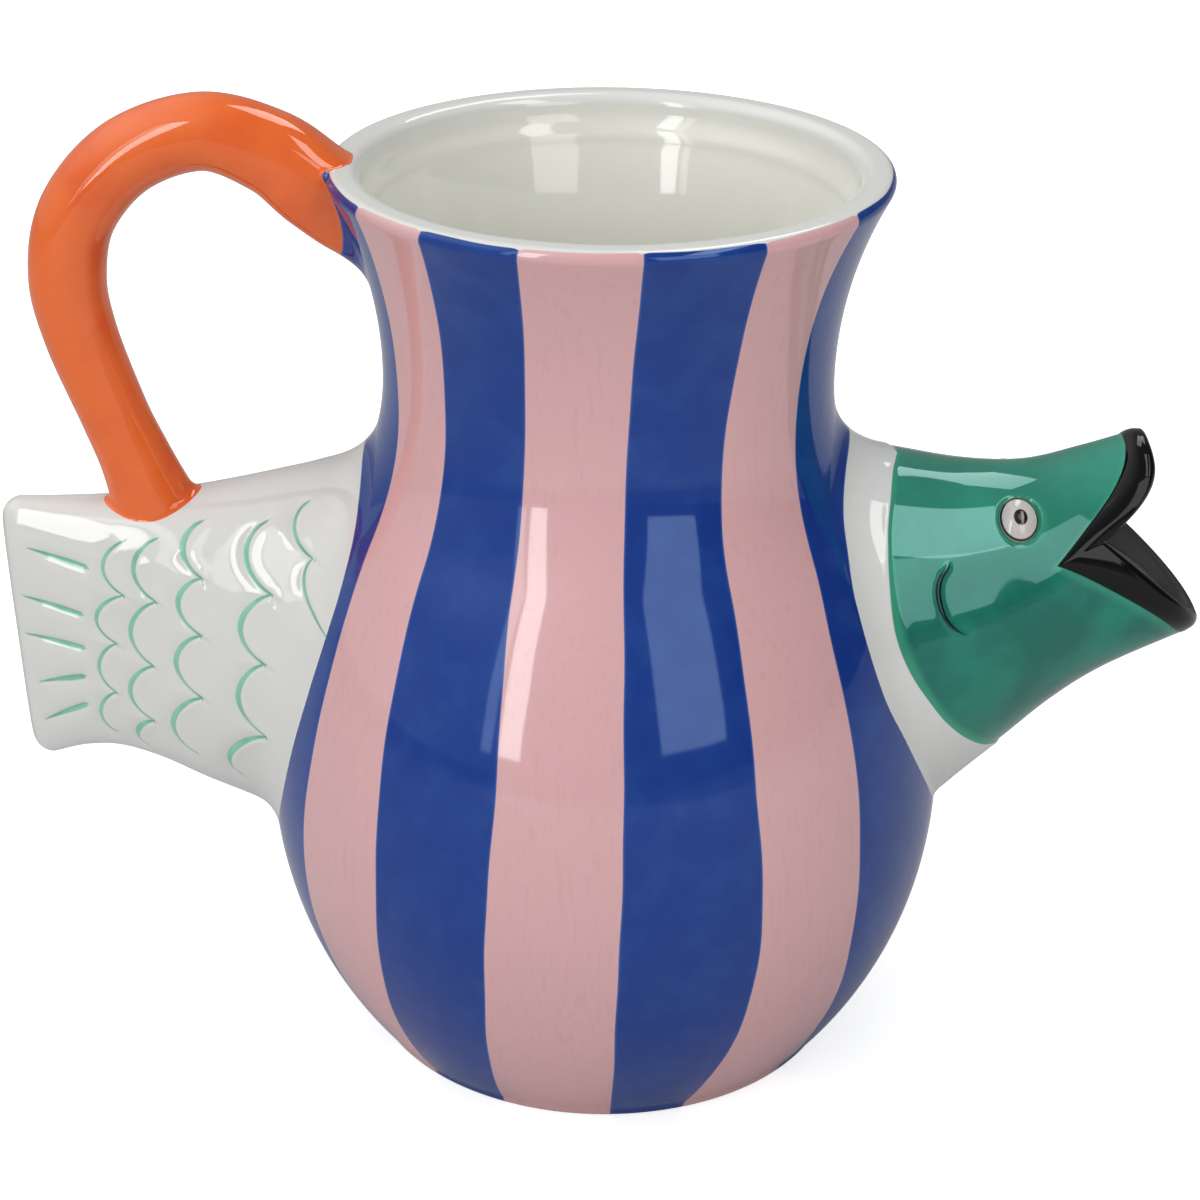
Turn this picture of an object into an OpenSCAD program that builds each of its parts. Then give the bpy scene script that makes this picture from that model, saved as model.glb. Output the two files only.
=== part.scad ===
// Fish-spout jug: a waisted, wide-mouthed ceramic jug crossed by a fish.
// The cast pieces are luted together: the body, the hollow head that pours, the rolled lip of its
// mouth, two sprigged eyes, the hollow tail and the pulled handle that stands on the tail.
// The origin is the centre of the foot. +Z is up and +X points the way the jug pours. Millimetres.

/* [Body] */
// Height to the top of the rim
body_h = 220; // [206:1:240]
// Greatest outer radius of the belly
belly_r = 82; // [77:0.5:88]
// Height of the widest part of the belly
belly_z = 67; // [60:1:76]
// Outer radius of the waist under the rim
waist_r = 52.7; // [48:0.1:57]
// Height of the waist
waist_z = 170; // [160:1:176]
// Outer radius of the rim
rim_r = 64.6; // [61:0.1:70]
// Outer radius of the foot
foot_r = 57; // [48:0.5:64]

/* [Body wall] */
// Thickness of the cast wall
wall = 6; // [4:0.5:8]
// Thickness of the flat-topped rim
rim_t = 8; // [6:0.5:10]
// Rounding of the rim's outer edge
rim_edge = 2.2; // [1:0.1:3]
// Rounding of the rim's inner edge
rim_inner_edge = 1.6; // [0.8:0.1:2.5]
// Depth of the thick rim on the inside
rim_depth = 10; // [8:0.5:16]
// Step from the thick rim back to the wall
rim_step = 1; // [0.5:0.1:2]
// Thickness of the floor above the foot hollow
floor_t = 6; // [4:0.5:10]
// Width of the ring that the jug stands on
foot_ring_w = 8; // [5:0.5:14]
// Depth of the hollow under the foot
foot_hollow = 1.5; // [0.5:0.1:3]
// Rounding of the foot's outer edge
foot_round = 2.5; // [1:0.1:4]
// Rounding inside the jug where the floor meets the wall
floor_round = 10; // [4:0.5:16]

/* [Fish head spout] */
// Height of the head's root on the body
head_z = 105; // [98:1:110]
// How far the lower lip reaches from the jug's axis
head_reach = 144.5; // [136:0.5:156]
// Height of the crest over the head's root, inside the body
head_rise = 42; // [40:0.5:44]
// Depth of the keel under the head's root, inside the body
head_drop = 64; // [60:1:68]
// Half-width of the head inside the body
head_half = 37; // [34:0.5:39]
// Wall thickness of the head
head_wall = 5; // [4:0.25:6]
// Radius of the pouring hole in the body wall
head_port_r = 26; // [18:0.5:30]
// Upward slope of the pouring hole, in degrees
head_slope = 17; // [8:1:24]
// How far the head's root spreads on to the body
head_spread = 8.5; // [5:0.5:11]
// Angle of the mouth's corner above the head's widest line, in degrees
gape_angle = 20; // [8:1:28]
// How far along the head the corner of the mouth lies, as a share
gape_corner = 0.82; // [0.76:0.01:0.88]
// How far the rolled black lip reaches back along the crest and the keel, as a share
lip_band = 0.03; // [0.02:0.005:0.06]
// How far the rolled black lip reaches back at the corners, as a share
lip_corner = 0.105; // [0.06:0.005:0.12]

/* [Eyes] */
// Radius of an eye button
eye_r = 5.5; // [4:0.1:6.5]
// Height of an eye button from its seat to its crown
eye_h = 3; // [2:0.1:4]
// Depth of the socket that an eye sits in
eye_seat = 1.2; // [0.6:0.1:1.8]
// Gap between an eye and the wall of its socket
eye_gap = 0.15; // [0.05:0.05:0.4]
// How far along the head the eyes lie, as a share
eye_along = 0.62; // [0.54:0.01:0.64]
// Angle of the eyes above the head's widest line, in degrees
eye_angle = 50; // [44:1:60]

/* [Tail] */
// Height of the tail's root on the body
tail_z = 97; // [90:1:102]
// How far the tail fin reaches from the jug's axis
tail_reach = 145; // [136:1:156]
// Height of the back over the tail's root, inside the body
tail_rise = 47.5; // [45:0.5:50]
// Depth of the underside under the tail's root, inside the body
tail_drop = 56; // [52:1:60]
// Half-thickness of the tail inside the body
tail_half = 32; // [29:0.5:34]
// Wall thickness of the tail
tail_wall = 5; // [4:0.25:6]
// Radius of the hole between the body and the tail's hollow
tail_port_r = 22; // [14:0.5:24]
// How far the tail's root spreads on to the body
tail_spread = 8.5; // [5:0.5:11]
// Radius that rounds the fin's end
fin_round = 5; // [3:0.5:6]

/* [Handle] */
// Radius of the handle's round section
handle_r = 9.2; // [7:0.1:11]
// Radius of the handle where it spreads on to the rim and the tail
handle_root_r = 11; // [9:0.1:13]
// How far the handle's centreline swings out from the jug's axis
handle_reach = 125; // [118:1:134]
// Height of the handle's centreline over the rim
handle_rise = 6; // [0:1:14]
// Distance from the jug's axis to the handle's foot on the tail
handle_foot_x = 108; // [102:1:114]

/* [Hidden] */
$fn = 96;
arc_step = 4;              // degrees between the points of a profile arc
overlap = 20;              // how far a cutter runs past what it cuts
seam_turn = 90;            // turn of a revolved form's start, in degrees

// Curves

// Radius of an arc that starts upright and drifts sideways by d in a height l
function bow(d, l) = (d * d + l * l) / (2 * d);

// Points of an arc round [x, z], from angle a0 to a1
function arc(x, z, r, a0, a1) =
    let (n = max(2, ceil(abs(a1 - a0) / arc_step)))
    [for (i = [0 : n]) let (a = a0 + (a1 - a0) * i / n) [x + r * cos(a), z + r * sin(a)]];

// Catmull-Rom spline through rows of numbers, at u from 0 to len - 1
function row(rows, i) =
    i < 0 ? 2 * rows[0] - rows[1]
    : i > len(rows) - 1 ? 2 * rows[len(rows) - 1] - rows[len(rows) - 2]
    : rows[i];
function spline(rows, u) =
    let (
        i = min(floor(u), len(rows) - 2),
        f = u - i,
        a = row(rows, i - 1), b = row(rows, i), c = row(rows, i + 1), d = row(rows, i + 2)
    )
    b + f * (c - a) / 2 + f * f * (a - 2.5 * b + 2 * c - d / 2) + f * f * f * (1.5 * (b - c) + (d - a) / 2);

function unit(v) = v / norm(v);

// Body profile, half of the upright section, as [radius, height]

belly_bow = bow(belly_r - foot_r, belly_z);
s_bow = bow(belly_r - waist_r, waist_z - belly_z);
shoulder_share = 0.7;
shoulder_bow = shoulder_share * s_bow;
waist_bow = s_bow - shoulder_bow;
s_angle = asin((waist_z - belly_z) / s_bow);
edge = [rim_r - rim_edge, body_h - rim_edge];
edge_drift = waist_r - edge[0];
edge_rise = edge[1] - waist_z;
edge_reach = edge_drift * edge_drift + edge_rise * edge_rise;
flare_bow = (edge_reach - rim_edge * rim_edge) / (2 * (rim_edge - edge_drift));
flare_angle = atan2(edge_rise, flare_bow + edge_drift);

// The four arcs of the wall, moved inwards by t: belly, shoulder, waist and flare.
// They start at the height z0, and the flare ends at the angle given.
function wall_arcs(t, z0, flare_end) = concat(
    arc(belly_r - belly_bow, belly_z, belly_bow - t, asin((z0 - belly_z) / (belly_bow - t)), 0),
    arc(belly_r - shoulder_bow, belly_z, shoulder_bow - t, 0, s_angle),
    arc(waist_r + waist_bow, waist_z, waist_bow + t, 180 + s_angle, 180),
    arc(waist_r + flare_bow, waist_z, flare_bow + t, 180, 180 - flare_end)
);

// Outer radius of the wall at the height z
shoulder_top = belly_z + shoulder_bow * sin(s_angle);
function leg(r, z) = sqrt(max(0, r * r - z * z));
function body_r(z) =
    z < belly_z ? belly_r - belly_bow + leg(belly_bow, belly_z - z)
    : z < shoulder_top ? belly_r - shoulder_bow + leg(shoulder_bow, z - belly_z)
    : z < waist_z ? waist_r + waist_bow - leg(waist_bow, waist_z - z)
    : waist_r + flare_bow - leg(flare_bow, z - waist_z);

outer_profile = concat(
    wall_arcs(0, foot_round, flare_angle),
    arc(edge[0], edge[1], rim_edge, -flare_angle, 90)
);
rim_inside = arc(rim_r - rim_t + rim_inner_edge, body_h - rim_inner_edge, rim_inner_edge, 90, 180);
floor_z = foot_hollow + floor_t;
rim_step_z = body_h - rim_depth;
inner_end = asin((rim_step_z - waist_z) / (flare_bow + wall));
inner_wall = wall_arcs(wall, floor_z + floor_round, inner_end);
floor_edge = inner_wall[0] - [floor_round, 0];
inner_profile = concat(arc(floor_edge[0], floor_edge[1], floor_round, -90, -10), inner_wall);
inner_top = inner_profile[len(inner_profile) - 1];
foot_edge = outer_profile[0];

function reversed(list) = [for (i = [len(list) - 1 : -1 : 0]) list[i]];

module body_profile() {
    ring_in = foot_r - foot_ring_w;
    polygon(concat(
        [[0, foot_hollow], [ring_in - foot_hollow, foot_hollow], [ring_in, 0]],
        [[foot_edge[0] - foot_round, 0]],
        outer_profile,
        rim_inside,
        [inner_top - [rim_step, 0]],
        reversed(inner_profile),
        [[0, floor_z]]
    ));
}

// The body filled to its outer surface and plugged above the rim, which the luted pieces are
// scribed to. A revolved form starts on the near side, clear of the pieces that join it.
module body_solid() {
    rotate([0, 0, seam_turn])
        rotate_extrude()
            polygon(concat(
                [[0, 0], [foot_edge[0] - foot_round, 0]],
                outer_profile,
                [[edge[0], body_h + overlap], [0, body_h + overlap]]
            ));
}

// Lofts: rings of points skinned with triangles

// A root's point moved outwards along the direction out, the more the nearer it lies to the body.
// It spreads most on top, where the root stands square to the wall, and least underneath.
spread_depth = 6;
function spread(p, out, reach, lean) =
    let (
        gap = max(-spread_depth, norm([p[0], p[1]]) - body_r(p[2])),
        near = max(0, 1 - gap / (2 * reach)),
        share = lean > 0 ? 0.5 + 0.5 * lean * lean : 0.5 + 0.2 * lean
    )
    p + unit(out) * reach * near * near * share;

// Triangles between ring i and ring j, each of n points
function band(i, j, n) = [for (k = [0 : n - 1]) let (m = (k + 1) % n)
    each [[i * n + k, j * n + m, j * n + k], [i * n + k, i * n + m, j * n + m]]];

// A tube wall: the rings run out along its outside and back along its inside
module skin_loop(rings) {
    n = len(rings[0]);
    count = len(rings);
    polyhedron([for (r = rings) each r], [for (i = [0 : count - 1]) each band(i, (i + 1) % count, n)]);
}

// A closed form: the first and the last ring are capped
module skin_capped(rings) {
    n = len(rings[0]);
    count = len(rings);
    mid = function (r) [for (v = r) 1] * r / n;
    first = count * n;
    last = first + 1;
    polyhedron(
        concat([for (r = rings) each r], [mid(rings[0]), mid(rings[count - 1])]),
        concat(
            [for (i = [0 : count - 2]) each band(i, i + 1, n)],
            [for (k = [0 : n - 1]) [first, (k + 1) % n, k]],
            [for (k = [0 : n - 1]) [last, (count - 1) * n + k, (count - 1) * n + (k + 1) % n]]
        )
    );
}

// Distance from the jug's axis for a share: below 0 of the belly's radius, inside the body, and
// above 0 of the span that stands out from the belly
function from_axis(share, span) = belly_r + share * (share < 0 ? belly_r : span);

// Fish head: each station gives the crest, the keel and the half-width of one ring, from inside the
// body out to the mouth, as shares [crest x, crest rise, keel x, keel drop, half-width]

lip_roll = head_wall / 2;
head_tip = head_reach - lip_roll;
head_span = head_tip - belly_r;
head_shares = [
    [-0.549, 1, -0.244, 1, 1],
    [-0.341, 1.007, -0.049, 0.734, 0.946],
    [-0.195, 1.017, 0.092, 0.578, 0.878],
    [0.034, 1, 0.252, 0.444, 0.757],
    [0.286, 1.005, 0.454, 0.278, 0.608],
    [0.513, 1.1, 0.664, 0.148, 0.473],
    [0.731, 1.21, 1, -0.008, 0.378]
];
head_rows = [for (s = head_shares) [
    from_axis(s[0], head_span), head_z + head_rise * s[1],
    from_axis(s[2], head_span), head_z - head_drop * s[3],
    head_half * s[4]
]];
head_last = len(head_rows) - 1;

// Point of the head at t along it, from 0 to 1, and angle a round it, at the depth w under its surface
function head_point(t, a, w = 0) =
    let (
        s = spline(head_rows, t * head_last),
        crest = [s[0], 0, s[1]],
        keel = [s[2], 0, s[3]],
        up = (crest - keel) / 2,
        p = (crest + keel) / 2 + sin(a) * (up - w * unit(up)) - cos(a) * [0, s[4] - w, 0]
    )
    w > 0 ? p : spread(p, sin(a) * unit(up) - cos(a) * [0, 1, 0], head_spread, sin(a));

// Where the mouth's edge cuts the head: corner at each side, ends at the crest and the keel
crest_ease = 5;
seat_ease = 3.3;
keel_ease = 3;
function gape(a, corner, end, ease) =
    let (
        side = abs(a) > 90 ? 180 - abs(a) : abs(a),
        lift = a < 0 ? -side : side,
        upper = lift > gape_angle,
        share = upper ? (lift - gape_angle) / (90 - gape_angle) : (gape_angle - lift) / (90 + gape_angle)
    )
    corner + (end - corner) * (1 - pow(1 - share, upper ? ease : keel_ease));

// Angles round the head, with points on both corners of the mouth
crest_count = 18;
keel_count = 22;
head_angles = concat(
    [for (i = [0 : crest_count - 1]) gape_angle + (180 - 2 * gape_angle) * i / crest_count],
    [for (i = [0 : keel_count - 1]) let (a = 180 - gape_angle + (180 + 2 * gape_angle) * i / keel_count)
        a > 180 ? a - 360 : a]
);
function lip_edge(a) = gape(a, gape_corner, 1, crest_ease);
function lip_seat(a) = gape(a, gape_corner - lip_corner, 1 - lip_band, seat_ease);

// A ring of the head at the share s of the way to where the lip begins
function head_ring(s, w) = [for (a = head_angles) head_point(s * lip_seat(a), a, w)];

head_outer_steps = 24;
head_inner_steps = 12;

module head_wall_loft() {
    skin_loop(concat(
        [for (i = [0 : head_outer_steps]) head_ring(i / head_outer_steps, 0)],
        [for (i = [head_inner_steps : -1 : 0]) head_ring(i / head_inner_steps, head_wall)]
    ));
}

module head_spout() {
    color("seagreen")
        difference() {
            head_wall_loft();
            body_solid();
            for (side = [-1, 1]) eye_place(side) eye_socket();
        }
}

// Rolled lip: the end of the head's wall, rounded over from the outside to the inside
lip_steps = 3;
roll_steps = 4;

function lip_round(a, b) =
    let (
        t = lip_edge(a),
        outside = head_point(t, a),
        inside = head_point(t, a, head_wall),
        ahead = unit(head_point(t, a, lip_roll) - head_point(t - 0.02, a, lip_roll)),
        out = (outside - inside) / 2
    )
    (outside + inside) / 2 + cos(b) * out + sin(b) * norm(out) * ahead;

function lip_ring(f, w) =
    [for (a = head_angles) let (t = lip_seat(a)) head_point(t + f * (lip_edge(a) - t), a, w)];

module gape_lip() {
    color("#1c1c1e")
        skin_loop(concat(
            [for (i = [0 : lip_steps - 1]) lip_ring(i / lip_steps, 0)],
            [for (i = [0 : roll_steps]) [for (a = head_angles) lip_round(a, 180 * i / roll_steps)]],
            [for (i = [lip_steps - 1 : -1 : 0]) lip_ring(i / lip_steps, head_wall)]
        ));
}

// Eyes: domed buttons, each in a shallow flat-bottomed socket square to the head's surface

eye_rim = 0.8;
eye_dome = bow(eye_h - eye_rim, eye_r);

// Moves its children to an eye's place, with +Z out of the head's surface. Side -1 is the near side
module eye_place(side) {
    step = 0.01;
    here = head_point(eye_along, eye_angle);
    along = head_point(eye_along + step, eye_angle) - here;
    around = head_point(eye_along, eye_angle + 100 * step) - here;
    out = unit(cross(around, along));
    tilt = acos(out[2]);
    turn = atan2(out[1], out[0]);
    mirror([0, side > 0 ? 1 : 0, 0])
        translate(here)
            rotate([0, tilt, turn])
                translate([0, 0, -eye_seat])
                    children();
}

module eye_socket() {
    cylinder(r = eye_r + eye_gap, h = eye_seat + overlap);
}

module eye_button() {
    rotate_extrude()
        intersection() {
            translate([0, eye_h - eye_dome]) circle(r = eye_dome);
            square([eye_r, eye_h]);
        }
}

module eye_near() {
    color("whitesmoke") eye_place(-1) eye_button();
}

module eye_far() {
    color("whitesmoke") eye_place(1) eye_button();
}

// Tail: each station gives the back, the underside and the half-thickness of one ring, as shares
// [back x, back rise, underside x, underside drop, half-thickness], and then how square the ring is

fin_end = tail_reach - fin_round;
tail_span = fin_end - belly_r;
tail_shares = [
    [-0.512, 1, -0.22, 1, 1, 2],
    [-0.268, 1.011, -0.049, 0.804, 0.906, 2],
    [-0.098, 0.977, 0.07, 0.714, 0.781, 2.1],
    [0.14, 0.903, 0.281, 0.62, 0.625, 2.3],
    [0.386, 0.851, 0.474, 0.527, 0.469, 2.6],
    [0.649, 0.819, 0.649, 0.473, 0.344, 3],
    [0.86, 0.811, 0.807, 0.479, 0.266, 3.2],
    [1, 0.813, 0.939, 0.521, 0.203, 3.4]
];
tail_rows = [for (s = tail_shares) [
    from_axis(s[0], tail_span), tail_z + tail_rise * s[1],
    from_axis(s[2], tail_span), tail_z - tail_drop * s[3],
    tail_half * s[4], s[5]
]];
tail_last = len(tail_rows) - 1;
tail_points = 36;

// Point of the tail at t along it, from 0 to 1, and angle a round it, at the depth w under its surface.
// A ring is a superellipse, which squares up towards the fin.
function blunt(v, n) = sign(v) * pow(abs(v), 2 / n);
function tail_point(t, a, w = 0) =
    let (
        s = spline(tail_rows, t * tail_last),
        back = [-s[0], 0, s[1]],
        under = [-s[2], 0, s[3]],
        up = (back - under) / 2,
        rise = blunt(sin(a), s[5]),
        side = blunt(cos(a), s[5]),
        p = (back + under) / 2 + rise * (up - w * unit(up)) + side * [0, s[4] - w, 0]
    )
    w > 0 ? p : spread(p, rise * unit(up) + side * [0, 1, 0], tail_spread, sin(a));

function tail_ring(t, w) = [for (i = [0 : tail_points - 1]) tail_point(t, 360 * i / tail_points, w)];

// The fin's rounded end: the last ring again, drawn in and moved out by b degrees of a quarter turn
function fin_ring(b) =
    let (out = [-fin_round * sin(b), 0, 0])
    [for (p = tail_ring(1, fin_round * (1 - cos(b)))) p + out];

tail_steps = 24;
fin_steps = 4;
tail_hollow_steps = 10;
tail_hollow_end = 0.68;    // how far along the tail its hollow runs, as a share

module tail_solid() {
    skin_capped(concat(
        [for (i = [0 : tail_steps]) tail_ring(i / tail_steps, 0)],
        [for (i = [1 : fin_steps]) fin_ring(90 * i / fin_steps)]
    ));
}

module tail_hollow() {
    inset = function (i) i < tail_hollow_steps ? tail_wall : tail_wall * 1.4;
    skin_capped([for (i = [-1 : tail_hollow_steps])
        i < 0 ? [for (p = tail_ring(0, tail_wall)) p + [overlap, 0, 0]]
        : tail_ring(tail_hollow_end * i / tail_hollow_steps, inset(i))]);
}

module tail_chamber() {
    color("whitesmoke")
        difference() {
            tail_solid();
            tail_hollow();
            body_solid();
        }
}

// Handle: a round section carried along a path of [x, z, radius], from the rim to the tail's back

handle_seat = 0.842;       // height of the tail's back under the handle, as a share of tail_rise
handle_back = tail_z + tail_rise * handle_seat;
handle_top = body_h + handle_rise;
handle_rows = [
    [-rim_r + 20, body_h - 19, handle_root_r + 1],
    [-rim_r + 3, body_h - 9.5, handle_root_r + 0.3],
    [-rim_r - 10, handle_top - 5.2, (handle_root_r + 2 * handle_r) / 3],
    [-(rim_r + handle_reach) / 2 + 2.5, handle_top, handle_r],
    [-handle_reach + 15.5, handle_top - 6, handle_r],
    [-handle_reach + 3.6, handle_top - 19, handle_r],
    [-handle_reach, handle_top - 34, handle_r],
    [-handle_reach + 2, handle_top - 48.5, handle_r],
    [-handle_foot_x - 8.5, handle_back + 21, handle_r - 0.5],
    [-handle_foot_x - 4.2, handle_back + 10, handle_r],
    [-handle_foot_x, handle_back - 0.5, handle_root_r],
    [-handle_foot_x + 3, handle_back - 8, handle_root_r + 2.5]
];
handle_last = len(handle_rows) - 1;
handle_points = 24;
handle_steps = 44;

function handle_ring(u) =
    let (
        s = spline(handle_rows, u),
        ds = spline(handle_rows, min(u + 0.01, handle_last)) - spline(handle_rows, max(u - 0.01, 0)),
        side = unit([-ds[1], 0, ds[0]])
    )
    [for (i = [0 : handle_points - 1]) let (a = 360 * i / handle_points)
        [s[0], 0, s[1]] + s[2] * (cos(a) * side + sin(a) * [0, 1, 0])];

module handle() {
    color("darkorange")
        difference() {
            skin_capped([for (i = [0 : handle_steps]) handle_ring(handle_last * i / handle_steps)]);
            body_solid();
            tail_solid();
        }
}

// Body: the revolved wall with the two holes that open into the head and the tail

module head_port() {
    translate([belly_r - 14, 0, head_z - 2])
        rotate([0, 90 - head_slope, 0])
            cylinder(r = head_port_r, h = 3 * overlap, center = true);
}

module tail_port() {
    translate([0, 0, tail_z])
        rotate([0, -90, 0])
            cylinder(r = tail_port_r, h = belly_r + overlap / 2);
}

module body_shell() {
    color("royalblue")
        difference() {
            rotate([0, 0, seam_turn]) rotate_extrude() body_profile();
            head_port();
            tail_port();
        }
}

body_shell();
head_spout();
gape_lip();
eye_near();
eye_far();
tail_chamber();
handle();
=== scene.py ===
"""A waisted ceramic jug with a fish head for a spout, a fish tail at its back and a looped handle.

Every piece is a numpy surface in the frame of the CAD part. Sizes are millimetres until a mesh is made.
"""

import logging
from abc import ABC, abstractmethod
from collections.abc import Callable
from dataclasses import dataclass, field
from enum import Enum
from functools import cached_property

import bpy
import numpy as np
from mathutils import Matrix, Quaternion, Vector


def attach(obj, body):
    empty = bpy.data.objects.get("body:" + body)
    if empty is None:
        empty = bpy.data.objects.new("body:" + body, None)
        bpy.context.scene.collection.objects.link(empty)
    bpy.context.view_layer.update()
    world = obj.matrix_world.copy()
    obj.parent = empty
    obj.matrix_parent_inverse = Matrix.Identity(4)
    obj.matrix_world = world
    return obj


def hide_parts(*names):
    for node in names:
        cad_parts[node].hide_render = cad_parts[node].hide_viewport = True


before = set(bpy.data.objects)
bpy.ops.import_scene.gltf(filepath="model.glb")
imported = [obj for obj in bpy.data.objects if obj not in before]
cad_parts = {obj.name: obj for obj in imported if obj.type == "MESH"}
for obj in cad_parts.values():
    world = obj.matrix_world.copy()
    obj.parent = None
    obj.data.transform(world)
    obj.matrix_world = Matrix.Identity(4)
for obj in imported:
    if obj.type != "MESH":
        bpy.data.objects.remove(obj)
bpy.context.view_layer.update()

LOG = logging.getLogger("fish_jug")
MM = 0.001
FAR_MM = 9.0
HAIR_MM = 0.1
WHITE = (1.0, 1.0, 1.0, 1.0)
ALONG, ACROSS, UP = np.eye(3)
Array = np.ndarray
Socket = bpy.types.NodeSocket


class Side(Enum):
    """Which way a luted piece stands out from the body, as the sign of X."""

    HEAD = 1.0
    TAIL = -1.0


class Flank(Enum):
    """The two flanks of the fish, as the sign of Y. The near one faces the camera."""

    NEAR = -1.0
    FAR = 1.0


# Curves and grids


def unit(v: Array) -> Array:
    """Vectors along the last axis, each made one long."""
    return v / np.maximum(np.linalg.norm(v, axis=-1, keepdims=True), 1e-9)


def ramp(x: Array, low: float, high: float) -> Array:
    """Smooth step: 0 below low, 1 above high, and 3s^2 - 2s^3 between them."""
    s = np.clip((np.asarray(x, float) - low) / (high - low), 0.0, 1.0)
    return s * s * (3.0 - 2.0 * s)


def bell(x: Array, width: float | Array) -> Array:
    """Bell curve exp(-(x / width)^2)."""
    return np.exp(-((x / width) ** 2))


def turns(count: int) -> Array:
    """Even angles for one turn round a ring, in radians from 0."""
    return np.linspace(0.0, 2 * np.pi, count, endpoint=False)


def superellipse(a: Array, n: Array) -> tuple[Array, Array]:
    """Cosine and sine of angles a over their norm of power n, so that a section is squarer as n grows."""
    norm = (np.abs(np.cos(a)) ** n + np.abs(np.sin(a)) ** n) ** (1.0 / n)
    return np.cos(a) / norm, np.sin(a) / norm


def upright(x: Array, z: Array) -> Array:
    """Points [x, 0, z] of the upright plane through the head, the tail and the handle."""
    return np.stack([x, np.zeros_like(x), z], axis=-1)


def rate(place: Callable[[Array], Array], at: Array, step: float) -> Array:
    """How fast place(at) changes, from two places a small step before and after."""
    return (place(at + step) - place(at - step)) / (2 * step)


def bow(drift: float, length: float) -> float:
    """Radius of an arc that starts upright and drifts sideways by drift in a height of length."""
    return (drift * drift + length * length) / (2.0 * drift)


def arc(centre: tuple[float, float], radius: float, start: float, end: float, count: int) -> Array:
    """Points of a circle's arc, without its last point.

    Args:
        centre: Centre of the circle, as (radius from the jug's axis, height).
        radius: Radius of the circle.
        start: First angle in degrees, from the outward direction.
        end: Last angle in degrees.
        count: How many points.

    Returns:
        Array (count, 2): centre + radius * (cos, sin) at even steps of angle.
    """
    a = np.radians(np.linspace(start, end, count, endpoint=False))
    return np.stack([centre[0] + radius * np.cos(a), centre[1] + radius * np.sin(a)], axis=-1)


def bezier(controls: list[Array], s: Array) -> Array:
    """Points of a Bezier curve at shares s along it: neighbours are mixed until one point is left."""
    while len(controls) > 1:
        controls = [(1 - s) * p + s * q for p, q in zip(controls[:-1], controls[1:])]
    return controls[0]


def spline(rows: Array, u: Array) -> Array:
    """Catmull-Rom spline through rows of numbers, the same one that the CAD part uses.

    Args:
        rows: Array (count, width), one row per knot.
        u: Places along the rows, from 0 to count - 1.

    Returns:
        Array u.shape + (width,): the cubic through four neighbouring rows at each place.
    """
    knots = np.vstack([2 * rows[0] - rows[1], rows, 2 * rows[-1] - rows[-2]])
    i = np.clip(np.floor(u).astype(int), 0, len(rows) - 2)
    f = (u - i)[..., None]
    a, b, c, d = knots[i], knots[i + 1], knots[i + 2], knots[i + 3]
    bend = f * f * (a - 2.5 * b + 2 * c - d / 2) + f**3 * (1.5 * (b - c) + (d - a) / 2)
    return b + f * (c - a) / 2 + bend


def even(values: tuple[float, ...], share: Array) -> Array:
    """Numbers set at even places from 0 to 1, read at shares between them on a spline."""
    return spline(np.array(values)[:, None], np.asarray(share) * (len(values) - 1))[..., 0]


def by_lift(values: tuple[float, ...], a: Array) -> Array:
    """Numbers set at even lifts from the keel at -90 degrees to the crest at 90, the same on both flanks.

    The lift of an angle a round a ring is arcsin(sin a).
    """
    return even(values, np.arcsin(np.sin(a)) / np.pi + 0.5)


def run_along(rings: Array) -> Array:
    """Length along each line of points that crosses the rings, from the first ring on."""
    steps = np.linalg.norm(np.diff(rings, axis=0), axis=-1)
    return np.concatenate([np.zeros((1, rings.shape[1])), np.cumsum(steps, axis=0)])


def grid_normals(rings: Array) -> Array:
    """Unit normals of a grid of rings: the cross product of the steps round a ring and along the rings."""
    around = np.roll(rings, -1, axis=1) - np.roll(rings, 1, axis=1)
    return unit(np.cross(around, np.gradient(rings, axis=0)))


class Closing(Enum):
    """How the first and the last ring of a skin are closed."""

    LOOP = "joined to each other"
    POLES = "each drawn in to a point"


def put(name: str, data: bpy.types.ID) -> bpy.types.Object:
    """Adds an object to the scene."""
    obj = bpy.data.objects.new(name, data)
    bpy.context.scene.collection.objects.link(obj)
    return obj


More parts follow.
